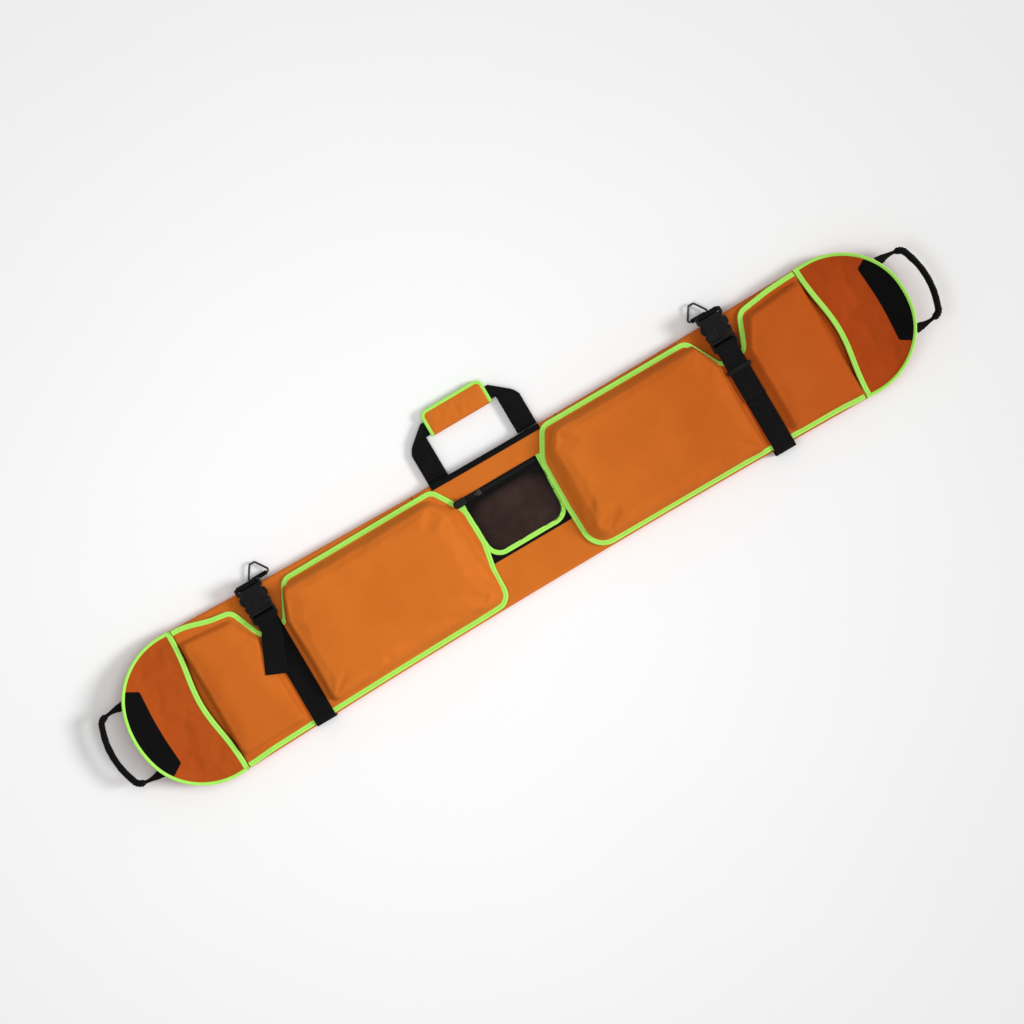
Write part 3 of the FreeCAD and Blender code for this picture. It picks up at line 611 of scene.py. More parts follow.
def sheet_plastic():
    """The plain sheet that stands for the board, lightly scratched."""
    s = Shader("board_sheet", (0.05, 0.05, 0.055), 0.45)
    scratch = s.node("TexWave", s.place(3.0), wave_type="BANDS")
    scratch.inputs["Distortion"].default_value = 14
    scratch.inputs["Detail"].default_value = 6
    s.colour(s.mix(s.spread(scratch.outputs["Fac"], 0.9, 1.0), (0.045, 0.045, 0.05), (0.07, 0.07, 0.075)))
    s.rough(s.noise(20.0), 0.38, 0.55)
    s.bump(s.noise(700.0), 0.05, 0.4)
    return s.mat


def pale_floor():
    s = Shader("pale_floor", (0.93, 0.93, 0.93), 0.9, specular=0.1)
    s.colour(s.mix(s.noise(2.0), (0.93, 0.93, 0.93), (0.95, 0.95, 0.95)))
    return s.mat


M = {
    "orange": knit("orange_knit", (0.66, 0.172, 0.021), (0.59, 0.145, 0.016)),
    # a darker copy of the knit for the end pockets and their mouth facings: painted shade
    "orange_shaded_ends": knit("orange_knit_painted_shade_ends", (0.50, 0.110, 0.014), (0.43, 0.088, 0.011)),
    "tape": folded_tape(),
    "thread": moulded("lime_thread", (0.36, 0.74, 0.10), 0.6),
    "webbing": webbing("black_webbing"),
    "ribbed": webbing("black_tube", 0.003, 0.008),
    "backing": plain_cloth("black_backing", (0.004, 0.0036, 0.0036), (0.008, 0.007, 0.007)),
    "patch": plain_cloth("black_patch", (0.002, 0.0018, 0.0018), (0.0045, 0.004, 0.004), 0.8),
    "net": net(),
    "buckle": moulded("buckle_plastic", (0.0035, 0.0035, 0.0038)),
    "pull": moulded("pull_rubber", (0.004, 0.004, 0.004), 0.6, 0.08),
    "teeth": moulded("zip_teeth", (0.012, 0.012, 0.012), 0.5),
    "wire": coated_wire(),
    "sheet": sheet_plastic(),
    "foam": plain_cloth("foam_sheet", (0.35, 0.35, 0.34), (0.45, 0.45, 0.44), 2.2),
    "touch": plain_cloth("touch_strip", (0.012, 0.012, 0.012), (0.05, 0.05, 0.05), 1.6, 0.95, 0.5),
    "floor": pale_floor(),
}


def cad_material(look, *nodes):
    for n in nodes:
        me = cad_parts[n].data
        me.materials.clear()
        me.materials.append(M[look])


# --- the sleeve ---
TAPE_SECTION = [(0.0, 26.6), (0.3, 28.0), (1.3, 28.9), (2.8, 29.15), (4.2, 28.9), (4.9, 28.5), (5.5, 28.5),
                (6.2, 28.85), (7.6, 29.0), (8.9, 28.8), (9.7, 28.2), (9.4, 25.2), (7.0, 24.8), (3.0, 24.7),
                (0.9, 25.0), (0.2, 25.7)]


def outline_run(x0, x1, sign):
    """The outline's samples between two x on one side, with inward directions."""
    keep = (EDGE[:, 0] >= x0) & (EDGE[:, 0] <= x1)
    p, out = EDGE[keep].copy(), EDGE_OUT[keep].copy()
    for x, at in ((x0, 0), (x1, len(p))):
        n = np.array([np.interp(x, EDGE[:, 0], EDGE_OUT[:, k]) for k in (0, 1)])
        if abs(p[min(at, len(p) - 1), 0] - x) > 0.3:
            p = np.insert(p, at, [x, float(half_width(x))], 0)
            out = np.insert(out, at, n / np.linalg.norm(n), 0)
    return p * [1, sign], -out * [1, sign]


def shell():
    """The tray: underside, rounded lower edge, side wall, rim and the inside of its floor."""
    ring = np.concatenate([EDGE, (EDGE[1:-1] * [1, -1])[::-1]])
    away = np.concatenate([EDGE_OUT, (EDGE_OUT[1:-1] * [1, -1])[::-1]])
    section = [(98, 0), (60, 0), (30, 0), (12, 0), (7, 0.1), (4, 0.7), (1.8, 2.2), (0.5, 4.4), (0.0, 7),
               (-0.2, 10), (-0.2, 13), (0.1, 16), (0.7, 18), (1.8, 19.3), (3.2, 19.6), (4.2, 18.8), (4.3, 14),
               (4.4, 6), (6, 4.4), (12, 4.2), (30, 4.2), (60, 4.2), (98, 4.2)]
    n, m = len(ring), len(section)
    sec = np.array(section, float)
    xy = ring[:, None] - away[:, None] * sec[None, :, :1]
    wall = (sec[:, 1] > 4) & (sec[:, 1] < 17) & (sec[:, 0] < 1)  # the only part that waves
    wobble = waves(xy[..., 0], xy[..., 1] * 3, (46, 5, 0.45), (17, 6, 0.2))
    xy = xy + away[:, None] * (wobble * wall[None, :])[..., None]
    verts = np.concatenate([xy, lifted(xy[..., 0], sec[None, :, 1])[..., None]], 2).reshape(-1, 3)
    faces = [f[::-1] for f in lattice(n, m, wrap_rows=True)]
    # both floors are closed by strips between the section's ends on the two sides
    half, cols = len(EDGE), 6
    for k, flip in ((0, True), (m - 1, False)):
        grid = np.empty((half, cols + 1), int)
        grid[:, 0] = [i * m + k for i in range(half)]
        grid[:, cols] = [(n - i) % n * m + k for i in range(half)]
        for c in range(1, cols):
            t = c / cols
            grid[:, c] = len(verts) + np.arange(half)
            verts = np.concatenate([verts, verts[grid[:, 0]] * (1 - t) + verts[grid[:, cols]] * t])
        grid[0, :] = grid[0, 0]
        grid[-1, :] = grid[-1, 0]
        for i in range(half - 1):
            for c in range(cols):
                q = [grid[i, c], grid[i, c + 1], grid[i + 1, c + 1], grid[i + 1, c]]
                q = [v for j, v in enumerate(q) if v != q[j - 1]]
                if len(q) > 2:
                    faces.append(q if flip else q[::-1])
    used, index = np.unique(np.concatenate([np.asarray(f) for f in faces]), return_inverse=True)
    faces = np.split(index, np.cumsum([len(f) for f in faces])[:-1])
    piece("sleeve_shell", verts[used], faces, "orange", nodes=["base_shell"])


def wrap_run(name, x0, x1, sign, reach, *nodes):
    """The fabric that turns over the wall's rim and lies on the board."""
    path, side = outline_run(x0, x1, sign)
    section = [(-0.4, 11.0), (-0.75, 14), (-0.6, 16.8), (0.2, 19.0), (1.8, 20.8), (4.2, 21.8), (8, 22.1)]
    section += [(d, 22.0) for d in np.linspace(12, reach, max(3, int(reach / 9)))]
    section += [(reach, 19.2), (8, 19.2), (4, 18.6), (1.6, 16.8), (0.6, 14), (0.4, 11)]

    def ground(x, y):
        return waves(x, y, (60, 3, 0.5), (22, 4, 0.22)) * smooth((half_width(x) - np.abs(y)) / 18)

    tape(name, path, section, "orange", side, ground, nodes=nodes)


def mouth_x(y, shift=0.0):
    """|x| of the pocket mouth's line at y: it bows towards the tip and runs straight at both sides."""
    bow = 0.5 + 0.5 * np.cos(np.clip(np.asarray(y, float) / 118, -1, 1) * math.pi)
    return MOUTH_EDGE + shift + MOUTH_BOW * bow


def pocket_height(x, y):
    """Top of the end pocket's panel above the base."""
    d = np.maximum(outline_distance(x, y), 0)
    open_end = 1 - smooth((np.abs(x) - 650) / 105)
    rise = smooth(d / 46.0) * (7.4 * open_end + 1.2)
    return 25.4 + rise + waves(x, y, (34, 11, 0.5), (13, 12, 0.2)) * smooth(d / 14)


def end_pocket(name, sign):
    """The panel over the tip, and the facing, tape and stitches of its mouth."""
    def keep(a, b):
        return (outline_distance(a * sign, b) > 2.2) & (a > mouth_x(b, 4.0))

    def shape(a, b):
        return np.stack([a, b, lifted(a, pocket_height(a * sign, b) + 0.6 * noise2(a, b, 24, 13 + sign))], -1)

    def pinned(a, b):
        return (outline_distance(a * sign, b) < 7) | (a < mouth_x(b, 15.0)) | (a > 743)

    x, y, quads = masked_grid(np.arange(640, 801, 2.6), np.arange(-146, 146.5, 2.6), keep)
    puff = billow(np.arange(640, 806, 5.0), np.arange(-148, 150, 5.0), shape, pinned, pressure=2.0, cap=2.0,
                  slack=0.005)
    verts = (np.stack([x, y, lifted(x, pocket_height(x * sign, y))], 1) + puff(x, y)) * [sign, 1, 1]
    nodes = [f"{name}_pocket"]
    # the darker copy of the knit paints shade onto the end pocket's panel
    piece(f"{name}_pocket_panel", verts, quads, "orange_shaded_ends", nodes=nodes, flip=sign < 0, cloth=2.6)
    reach = float(half_width(sign * MOUTH_EDGE)) - 0.5
    ys = np.linspace(-reach, reach, 90)
    path = np.stack([sign * mouth_x(ys), ys], 1)
    side = inward(path) * -sign
    facing = [(-0.2, 23.7), (9.0, 23.7), (9.0, 23.2), (-0.2, 23.2)]
    # the facing also gets the darker copy of the knit, which paints shade onto it
    tape(f"{name}_mouth_facing", path, facing, "orange_shaded_ends", side)
    section = [(s, h - FLAP_TOP) for s, h in TAPE_SECTION]
    tape(f"{name}_mouth_tape", path, section, "tape", side, pocket_height, nodes=[f"{name}_mouth_binding"])
    line = path + side * SEAM
    stitches(f"{name}_mouth_stitches", line, lifted(line[:, 0], pocket_height(line[:, 0], line[:, 1]) + 0.35))


def edge_tape(name, sign):
    """The tape folded over the seam round the tip."""
    keep = sign * EDGE[:, 0] > MOUTH_EDGE - 1
    top, out = EDGE[keep], EDGE_OUT[keep]
    if sign < 0:
        top, out = top[::-1], out[::-1]
    path = np.concatenate([top, (top[:-1] * [1, -1])[::-1]])
    side = -np.concatenate([out, (out[:-1] * [1, -1])[::-1]])
    section = [(-0.2, 18.4), (-1.0, 19.2), (-1.3, 22.0), (-1.0, 24.6), (0.0, 26.3), (1.2, 27.0), (2.2, 26.9),
               (2.7, 26.6), (3.3, 26.85), (4.2, 26.8), (5.1, 26.3), (5.0, 24.9), (3.0, 23.6), (1.0, 21.5)]
    tape(f"{name}_tip_tape", path, section, "tape", side, nodes=[f"{name}_edge_binding"])
    line = path + side * 2.7
    stitches(f"{name}_tip_stitches", line, lifted(line[:, 0], 27.0))


def patch(name, sign):
    """The coated cloth patch on the tip: a grid whose edge is drawn to the patch's outline and sewn down."""
    loop = rounded_loop([(749, -72, 5), (776, -89, 3), (840, -89, 0), (840, 93, 0), (778, 93, 3),
                         (749, 76, 5), (753.5, 0, 600)])
    x, y, quads = masked_grid(np.arange(745, 801, 1.6), np.arange(-104, 105, 1.6), lambda a, b: (
        polygon_distance(a, b, loop) > -0.8) & (outline_distance(sign * a, b) > 3.5))
    near = polygon_distance(x, y, loop) < 0.9
    spots = np.stack([x, y], 1)[near]
    closest = resample(loop, 0.8, closed=True)
    gap = np.hypot(spots[:, None, 0] - closest[None, :, 0], spots[:, None, 1] - closest[None, :, 1])
    closest = closest[gap.argmin(1)]
    inside = outline_distance(sign * closest[:, 0], closest[:, 1]) > 3.0
    x[near], y[near] = np.where(inside[:, None], closest, spots).T
    h = pocket_height(sign * x, y) + 0.9 - 0.5 * (polygon_distance(x, y, loop) < 0.6)
    verts = np.stack([sign * x, y, lifted(x, h)], 1)
    piece(f"{name}_tip_patch", verts, quads, "patch", nodes=[f"{name}_patch"], flip=sign < 0, cloth=1.2)


# --- flaps ---
def flap_height(x, y, sign):
    """Top of a flap above the base, for x > 0; the nose flap is mirrored. Each lobe rises from a low outline
    to a high one, and its top is slightly domed."""
    near, far = STRAP_X[sign] - 27, STRAP_X[sign] + 27
    large_low = [(92, -116, 32), (near, -119, 12), (near, 52, 12), (near - 23, 109, 14), (128, 111, 22),
                 (98, 74, 30)]
    large_high = [(114, -106, 26), (near - 10, -110, 10), (near - 10, 50, 10), (near - 29, 99, 12),
                  (137, 101, 18), (117, 70, 26)]
    small_low = [(far, -119, 10), (649, -121, 10), (649, 116, 10), (far + 31, 106, 14), (far + 1, 50, 12)]
    small_high = [(far + 11, -109, 8), (640, -111, 8), (640, 106, 8), (far + 38, 97, 12), (far + 11, 48, 10)]
    z = np.full(np.shape(x), FLAP_TOP)
    lobes = ((large_low, large_high, LOBE_TOP - 1.6), (small_low, small_high, SMALL_LOBE_TOP - 1))
    for low, high, top in lobes:
        outer = polygon_distance(x, y, rounded_loop(low))
        inner = polygon_distance(x, y, rounded_loop(high))
        up = np.maximum(outer, 0)
        share = np.where(outer > 0, up / np.maximum(up + np.maximum(-inner, 0), 1e-6), 0)
        bulge = 0.7 * np.sin(share * math.pi / 2) ** 0.9 + 0.3 * smooth(share)
        dome = 1.6 * (1 - np.exp(-np.maximum(inner, 0) / 26))
        z = np.maximum(z, FLAP_TOP + (top - FLAP_TOP) * bulge + np.where(share > 0, dome, 0))
    return z - 2.2 * smooth((x - 645) / 9)


def flap_path(sign):
    """The flap's taped edge for x > 0: from the mouth's upper end round the inner side to its lower end."""
    if sign < 0:
        inner = [(75.5, 64, 50), (74.5, -8, 60), (84.5, -58, 60), (87.5, -126, 30)]
    else:
        inner = [(81, 68, 60), (79.5, -30, 80), (82.5, -126, 44)]
    c = STRAP_X[sign]
    corners = [(720, 148, 0), (c + 48, 121, 26), (c + 22, 57, 12), (c - 22, 57, 12), (c - 58, 124, 24),
               (114, 125, 24)] + inner
    for x in (160, 220, 300, 380, 460, 540, 600, 650, 680):
        corners.append((x, 2.5 - float(half_width(sign * x)), 0))
    path = resample(rounded(corners), 2.2)
    at_end = smooth((path[:, 0] - 570) / 70)
    limit = half_width(sign * path[:, 0]) - 2.5 + 2.0 * at_end
    bound = np.clip(path[:, 1], -limit, limit)
    path[:, 1] = bound * (1 - at_end) + np.sign(bound) * limit * at_end
    return path[path[:, 0] < mouth_x(path[:, 1], -1.0)]


def flap(name, sign):
    """The flap's panel with its two lobes, and the tape and stitches round its free edge."""
    path = flap_path(sign)
    ends = np.array([[mouth_x(y) - 0.3, y] for y in np.linspace(path[-1, 1], path[0, 1], 40)])
    region = np.concatenate([path, ends])
    last = float(mouth_x(0.0))

    def warp(a, b):
        return a + smooth((a - 560) / (last - 560)) * (mouth_x(b) - last)

    def top(a, b):
        return flap_height(warp(a, b), b, sign)

    def shape(a, b):
        lumps = 0.35 * noise2(a * sign, b, 31, 24) * (top(a, b) > 30)
        return np.stack([warp(a, b), b, top(a, b) + lumps], -1)

    def pinned(a, b):
        return (top(a, b) < 28.6) | (path_distance(warp(a, b), b, path) < 11)

    def keep(a, b):
        return (polygon_distance(warp(a, b), b, region) > 0) & (path_distance(warp(a, b), b, path) > 3.2)

    xs = np.append(np.arange(73, last - 3.0, 2.5), last - 0.5)
    x, y, quads = masked_grid(xs, np.arange(-146, 146, 2.5), keep)
    moved = billow(np.arange(72, last + 5, 5.0), np.arange(-146, 146, 5.0), shape, pinned)(x, y)
    x = warp(x, y)
    wavy = waves(x * sign, y, (70, 21, 0.9), (28, 22, 0.45), (11, 23, 0.12))
    z = flap_height(x, y, sign) + wavy * smooth((path_distance(x, y, path) - 8) / 14)
    verts = (np.stack([x, y, z], 1) + moved) * [sign, 1, 1]
    body = f"{name}_flap"
    piece(f"{name}_flap_panel", verts, quads, "orange", body, [f"{name}_flap"], flip=sign < 0, cloth=3.0)
    path = path * [sign, 1]
    side = inward(path) * sign
    tape(f"{name}_flap_tape", path, TAPE_SECTION, "tape", side, body=body, nodes=[f"{name}_flap_binding"])
    stitches(f"{name}_flap_stitches", path + side * SEAM, 28.6, body)


def hinge_cloth(name, sign):
    """The fold that joins the flap's long edge to the wall. It rises out of the flap's corner."""
    start = 108.0 if sign < 0 else 118.0
    path, side = outline_run(*sorted((sign * start, sign * 648.5)), -1)

    def sink(x):
        return smooth(1 - (np.abs(x) - start) / 16)

    path = path + side * 2.4 * sink(path[:, :1])
    section = [(0.9, 15.0), (-0.2, 17.0), (-0.5, 20.0), (0.4, 23.4), (2.6, 25.8), (6.5, 26.4), (7.0, 25.6),
               (3.2, 24.6), (1.6, 22.5), (0.8, 19.6), (1.4, 16.0)]
    ob = tape(f"{name}_hinge_cloth", path, section, "orange", side, lambda x, y: -4.6 * sink(x), body=None)
    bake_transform(ob)


# --- straps ---
def straps(name, sign):
    """The webbing of one strap: under the tray and up to the socket, the ring's loop, the length sewn on the
    flap, the fold between them and the free end."""
    x = sign * STRAP_X[sign]
    y = float(half_width(-STRAP_X[-1] - 20)) + 1.7
    over, past = BUCKLE_Z + 2 + OVER_BAR, BUCKLE_REAR + OVER_BAR
    path = yz([(-y, 23, 0), (-y, 1.0, 2.4), (y, 1.0, 2.4), (y, over, 1.2), (past, over, 1.6), (past, 32, 4),
               (y + 2.0, 26, 4), (y + 2.0, 14, 0)], x)
    band(f"{name}_strap_under", path, nodes=[f"{name}_under_strap"])
    yt, shift = y + 4.0, 25 if sign < 0 else -14
    path = yz([(yt, 21, 0), (yt, 5.8, 2.4), (yt + 6.4, 5.8, 3.2), (yt + 6.4, 12.2, 3.2),
               (yt + 2.0, 12.2, 1.0), (yt + 2.0, 21, 0)], x + shift)
    band(f"{name}_ring_loop", path, width=30, nodes=[f"{name}_ring_tab"])
    path = yz([(-y + 9, 32.0, 0), (-60, 30.6, 200), (20, 30.8, 200), (76, 31.9, 200), (91, 31.9, 0)], x)
    band(f"{name}_strap_top", path, body=f"{name}_flap", nodes=[f"{name}_strap"])
    path = yz([(-y, 21, 0), (-y, 32.2, 6), (-y + 14, 32.2, 0)], x)
    fold = band(f"{name}_strap_fold", path, body=None, thick=1.9)
    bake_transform(fold)
    low, high = STRAP_Z + 1.6 + OVER_BAR, BUCKLE_Z + 4.4 + 0.8
    turn = FRAME_END + 9.4 + 2.2 + OVER_BAR
    if sign > 0:
        path = yz([(turn, low + 3, 0), (turn, high, 2.8), (70, high, 4), (52, low, 6), (-31, low, 0)], x)
        band("tail_strap_free_end", path, body="tail_plug", nodes=["tail_strap_end"])
        return
    path = yz([(56, low, 0), (turn, low, 2.8), (turn, high, 2.8), (70, high, 4), (62, low + 4.4, 4),
               (58.4, low + 3.4, 0)], x)
    band("nose_strap_turn", path, body="nose_plug", nodes=["nose_strap_loop"])
    # the nose strap's free end leans towards the small lobe and rests on it
    count, length, start_y, lowest = 40, 86, 59, 37.3
    t = np.linspace(0, 1, count)
    lean = 0.42 * smooth(t * 3)
    step = length / (count - 1)
    path_x = -np.concatenate([[0], np.cumsum(np.sin(lean[:-1]) * step)]) - 5 * smooth(t * 5)
    path_y = start_y - np.concatenate([[0], np.cumsum(np.cos(lean[:-1]) * step)])
    side = np.stack([np.cos(lean), -np.sin(lean), 0.0 * t], 1)
    under = [flap_height(-(x + path_x + a * side[:, 0]), path_y + a * side[:, 1], -1)
             for a in (-20, -12, 0, 12, 20)]
    rest_on = np.maximum.accumulate(np.maximum(np.max(under, 0) + 3.4, lowest))
    z = np.maximum(lowest + 10 * smooth(t * 2.0), rest_on)
    z[1:-1] = np.convolve(np.pad(z, 4, "edge"), np.ones(9) / 9, "valid")[1:-1]
    centre = np.stack([x + path_x, path_y, z], 1)
    band("nose_strap_free_end", centre, side, body="nose_strap_end", nodes=["nose_strap_end"])


# --- mesh pocket ---
def mesh_pocket():
    """The pocket's backing, tape with stitches, net and the cloth of its zip."""
    x, y, quads = masked_grid(np.linspace(-86, 86, 60), np.linspace(-50, 81, 50))
    verts = np.stack([x, y, 22.9 + noise2(x, y, 25, 31) * 0.2], 1)
    piece("pocket_back_cloth", verts, quads, "backing", nodes=["pocket_backing"], cloth=0.7)
    top, low = 82.0, -45.0
    path = resample(rounded([(-85, top, 0), (-82, low, 32), (82, low, 32), (90, top, 0)]), 2.4)
    side = inward(path)
    section = [(s, max(h - 4.75, 22.6)) for s, h in TAPE_SECTION]
    tape("pocket_tape", path, section, "tape", side, nodes=["pocket_binding"])
    stitches("pocket_stitches", path + side * SEAM, 23.75)
    net_panel()
    x, y, quads = masked_grid(np.linspace(-75, 79.6, 78), np.linspace(61.6, 82.4, 15))
    ridge = 0.25 * np.cos((y - 76) / 6 * math.pi) * (y > 70)
    verts = np.stack([x, y, 23.6 - ridge + 0.2 * (y <= 70) + noise2(x, y, 30, 33) * 0.1], 1)
    weave = np.stack([x, y - 76], 1)
    piece("zip_tape_cloth", verts, quads, "webbing", nodes=["zip_tape"], weave=weave, cloth=0.5)


def net_panel():
    """The net: a plate with a small square hole in every cell, gently bulged."""
    pitch, hole = 1.9, 0.56
    limit = rounded_loop([(80.5, 63, 1), (-76.5, 63, 1), (-73.5, -36.5, 22), (73.5, -36.5, 22)])
    cx, cy = np.meshgrid(-77 + (np.arange(int(160 / pitch)) + 0.5) * pitch,
                         -38 + (np.arange(int(104 / pitch)) + 0.5) * pitch, indexing="ij")
    cells = np.stack([cx.ravel(), cy.ravel()], 1)
    cells = cells[polygon_distance(cells[:, 0], cells[:, 1], limit) > -1.0]
    h = pitch / 2
    outer = np.array([(-h, -h), (h, -h), (h, h), (-h, h)])
    corners = np.concatenate([outer, outer * hole])
    p = (cells[:, None] + corners).reshape(-1, 2)
    faces = []
    for base in range(0, len(p), len(corners)):
        faces += [[base + a, base + (a + 1) % 4, base + 4 + (a + 1) % 4, base + 4 + a] for a in range(4)]
    x, y = p.T
    bulge = 0.9 * np.exp(-((x / 60) ** 2 + ((y - 15) / 45) ** 2))
    z = 24.1 + bulge + waves(x, y, (20, 41, 0.45), (8, 42, 0.2))
    ob = piece("pocket_net", np.stack([x, y, z], 1), faces, "net", nodes=["pocket_mesh"])
    merge = ob.modifiers.new("join", "WELD")
    merge.merge_threshold = 0.00002
    solidify(ob, 0.35)


# --- handles ---
def handle_top(x):
    """How far up the folded corner of a handle leg reaches, at |x|."""
    return np.minimum(201 + (113 - x) * 0.84, 236) - 7 * np.clip((x - 103) / 10, 0, 1) ** 2


def carry_handle():
    """The handle's sewn strip, its two legs with their roots, the part across and the padded wrap."""
    path, side = outline_run(-113, 113, 1)
    section = [(-1.9, 3.2), (-2.1, 8), (-2.1, 15), (-1.8, 19), (-0.6, 21.6), (1.6, 23.2), (4, 23.8),
               (8.6, 23.9), (9.2, 23.3), (8.6, 22.5), (4, 22.3), (2, 21.6), (0.2, 19.4), (-0.6, 15),
               (-0.7, 8), (-0.7, 3.2)]
    tape("handle_strip", path, section, "webbing", side, nodes=["handle_base_strip"])
    foot, rows = HANDLE_PIVOT + 3.0, 13
    across = np.linspace(-20, 20, rows)
    t = np.linspace(0, 1, 46)[:, None]
    for label, s in ENDS:
        py = foot + (handle_top(LEG_X + across) - foot)[None] * t
        px = np.broadcast_to(s * (LEG_X + across)[None], py.shape)
        pz = HANDLE_Z + 0.9 * np.sin(t * math.pi) + 0.25 * np.cos(across / 20 * 1.5)[None]
        verts = np.stack([px, py, pz], 2).reshape(-1, 3)
        piece(f"handle_leg_{label}", verts, lattice(46, rows), "webbing", "carry_handle",
              weave=on_cloth(py, across[None]), flip=s > 0, cloth=1.7)
        path = yz([(132.2, 20.0, 0), (132.2, 11.2, 3), (144, 10.6, 0)], s * LEG_X)
        root = band(f"handle_root_{label}", path, body=None, thick=1.8)
        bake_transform(root)
    rows = 11
    ys = np.linspace(210.5, 236.5, rows)
    t = np.linspace(-1, 1, 90)[:, None]
    reach = 70.7 + (236.5 - ys) * 1.19
    px = reach[None] * t
    py = np.broadcast_to(ys[None], px.shape)
    pz = HANDLE_Z + 1.3 - 1.3 * smooth((1 - np.abs(t)) * 6) + 0 * px
    verts = np.stack([px, py, pz], 2).reshape(-1, 3)
    piece("handle_cross", verts, lattice(90, rows), "webbing", "carry_handle", ["handle_webbing"],
          on_cloth(px, ys[None] - 223), flip=True, cloth=1.7)
    grip("grip_back", -1, "carry_handle")
    grip("grip_front", 1, "grip_front")


def grip(name, sign, body):
    """One padded half of the hand grip, and the tape on its three free sides."""
    z0 = HANDLE_Z + sign * 1.2
    loop = rounded_loop([(-58.8, 206.3, 1), (58.8, 206.3, 1), (58.8, 249.9, 9), (-58.8, 249.9, 9)])

    def padding(a, b):
        return 2.9 + 2.4 * (1 - np.exp(-np.maximum(polygon_distance(a, b, loop), 0) / 7))

    def shape(a, b):
        return np.stack([a, b, padding(a, b)], -1)

    def pinned(a, b):
        return polygon_distance(a, b, loop) < 2.5

    x, y, quads = masked_grid(np.arange(-60, 60.1, 1.5), np.arange(206, 251.5, 1.5),
                              lambda a, b: polygon_distance(a, b, loop) > -0.2)
    thick = padding(x, y) + 0.25 * noise2(x, y, 14, 51)
    top = z0 + sign * thick * (0.45 + 0.55 * smooth((y - 206.0) / 4.0))
    puff = billow(np.arange(-60, 61, 4.0), np.arange(204, 253, 4.0), shape, pinned, pressure=2.0, cap=1.0,
                  slack=0.005)
    verts = np.stack([x, y, top], 1) + puff(x, y) * [1, 1, sign]
    piece(f"{name}_pad", verts, quads, "orange", body, [name], flip=sign < 0, cloth=2.2)
    path = rounded([(63.8, 206.5, 0), (63.8, 255.3, 14), (-63.8, 255.3, 14), (-63.8, 206.5, 0)])
    path = resample(path, 1.8)
    half = np.array([(0.0, 0.6), (0.2, 2.8), (1.0, 3.9), (2.2, 4.4), (3.2, 4.1), (3.8, 3.8), (4.5, 4.0),
                     (5.6, 4.2), (6.4, 3.6), (6.2, 1.2), (3.0, 0.35), (0.8, 0.3)])
    side = inward(path)
    pts = path[:, None] + side[:, None] * half[None, :, :1]
    z = np.broadcast_to(z0 + sign * (half[None, :, 1] - 0.1), pts.shape[:2])
    sweep(f"{name}_tape", np.concatenate([pts, z[..., None]], 2), path, half[:, 0] * 1.45, "tape", body=body,
          nodes=[f"{name}_binding"], flip=sign < 0)
    stitches(f"{name}_stitches", path + side * 3.7, z0 + sign * 3.95, body, sign, pitch=2.8, length=2.0)


def end_handle(name, sign):
    """The flat webbing legs with their roots, and a ruched tube round the grip."""
    z = END_HANDLE_Z
    line = rounded([(822, 68.7, 0), (836, 67, 15), (858, 0, 150), (836, -67, 15), (822, -68.7, 0)])
    line = resample(line, 0.9)
    mid = np.column_stack([line, np.full(len(line), z)])
    out = np.column_stack([inward(line), np.zeros(len(line))])
    length = along(line)
    t = length / length[-1]
    around = np.linspace(0, 2 * math.pi, 25)[:-1]
    ridge = np.sin(length / 4.3 * 2 * math.pi + noise2(length, 0 * length, 30, 63) * 1.5)
    radius = 6.1 + 0.55 * ridge + 0.45 * noise2(length, length * 0, 9, 61 + sign)
    close = 1 - 0.4 * (1 - smooth(np.minimum(t, 1 - t) * 40))
    crease = 1 + 0.05 * noise2(length[:, None] * 1.0, around[None] * 6 + 3 * ridge[:, None], 3.0, 62)
    r = (radius * close)[:, None] * crease
    up = np.array([0, 0, 1.0])
    pts = mid[:, None] + out[:, None] * (r * np.cos(around))[..., None] + up * (r * np.sin(around))[..., None]
    body = f"{name}_end_handle"
    sweep(f"{name}_grip_tube", pts * [sign, 1, 1], line, around * 7, "ribbed", body=body,
          nodes=[f"{name}_end_grip"], flip=sign < 0)
    for label, s in (("low", -1), ("high", 1)):
        x = np.linspace(792.5, 825, 22)
        t = (x - x[0]) / (x[-1] - x[0])
        path = np.column_stack([sign * x, s * (70 - 1.4 * t + 1.0 * np.sin(t * 3.0)), z + 0 * x])
        tilt = 0.5 * smooth(t * 1.5)
        side = np.column_stack([0 * t, np.cos(tilt), s * np.sin(tilt)])
        band(f"{name}_leg_{label}", path, side, width=14, thick=2.0, widths=14.5 - 7.5 * smooth(t * 1.25),
             body=body, nodes=[body] if s > 0 else [])
        x = np.linspace(785, 799, 12)
        path = np.column_stack([sign * x, s * 70 + 0 * x, z + 0 * x])
        root = band(f"{name}_leg_root_{label}", path, (0, 1, 0), width=16, thick=2.4,
                    widths=17.5 - 2.6 * smooth((x - 785) / 12), body=None)
        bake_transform(root)


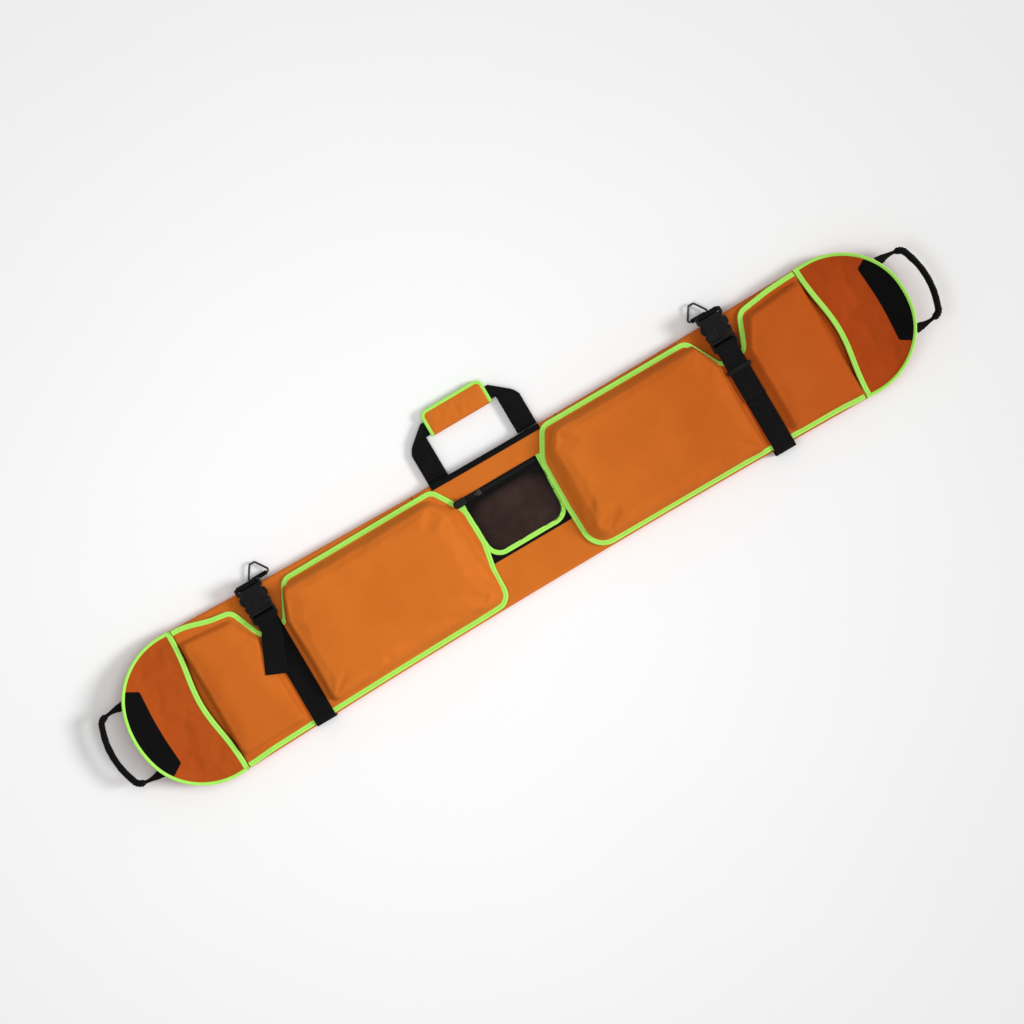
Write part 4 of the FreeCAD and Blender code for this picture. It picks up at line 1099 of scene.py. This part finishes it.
# --- scene ---
def studio():
    """A pale floor, a soft sun, a lamp above the middle and a white surround."""
    world = bpy.context.scene.world = bpy.data.worlds.new("studio")
    world.use_nodes = True
    surround = world.node_tree.nodes["Background"].inputs
    surround[0].default_value = (1, 1, 1, 1)
    surround[1].default_value = 0.47
    bpy.ops.mesh.primitive_plane_add(size=60, location=(0, 0, -0.0005))
    floor = bpy.context.object
    floor.name = "floor"
    floor.data.materials.append(M["floor"])
    sun = bpy.data.lights.new("key", "SUN")
    sun.angle, sun.energy = math.radians(18), 1.77
    top = bpy.data.lights.new("top", "AREA")
    top.size, top.energy = 0.9, 6.7
    for lamp, at, towards in ((sun, (2.9, -1.3, 2.3), (2.9, -1.3, 2.3)), (top, (-0.2, 0.0, 1.5), (0, 0, 1))):
        ob = bpy.data.objects.new(lamp.name, lamp)
        ob.location = at
        ob.rotation_euler = Vector(towards).to_track_quat("Z", "Y").to_euler()
        ob.visible_camera = ob.visible_glossy = lamp is sun
        bpy.context.scene.collection.objects.link(ob)
    bpy.context.scene.view_settings.view_transform = "Standard"


def camera():
    """Straight down, with the sleeve's length running up to the right at 30.5 degrees."""
    cam = bpy.data.cameras.new("camera")
    cam.lens, cam.sensor_width = 85, 36
    ob = bpy.data.objects.new("camera", cam)
    turn = math.radians(-30.5)
    right = Vector((math.cos(turn), math.sin(turn), 0))
    up = Vector((-math.sin(turn), math.cos(turn), 0))
    aside, ahead, height = -0.0144, 0.0090, 4.39
    ob.location = right * aside + up * ahead + Vector((0, 0, height))
    ob.rotation_euler = (0, 0, turn)
    bpy.context.scene.collection.objects.link(ob)
    bpy.context.scene.camera = ob


def build():
    shell()
    wrap_run("centre_cloth_upper", -150, 150, 1, 129, "centre_band")
    wrap_run("centre_cloth_lower", -150, 150, -1, 129)
    wrap_run("nose_wrap_cloth", -670, -149.9, 1, 100, "nose_wrap")
    wrap_run("tail_wrap_cloth", 149.9, 670, 1, 100, "tail_wrap")
    for name, sign in ENDS:
        end_pocket(name, sign)
        edge_tape(name, sign)
        patch(name, sign)
        flap(name, sign)
        hinge_cloth(name, sign)
        straps(name, sign)
        end_handle(name, sign)
        for look, parts in (("buckle", "socket plug_frame left_arm right_arm"), ("wire", "ring"),
                            ("touch", "hook_strip loop_strip")):
            cad_material(look, *(f"{name}_{part}" for part in parts.split()))
    mesh_pocket()
    carry_handle()
    for look, node in (("buckle", "tail_keeper"), ("wire", "zip_slider"), ("pull", "zip_pull"),
                       ("teeth", "zip_teeth"), ("sheet", "inner_board"), ("foam", "base_padding")):
        cad_material(look, node)
    studio()
    camera()


build()
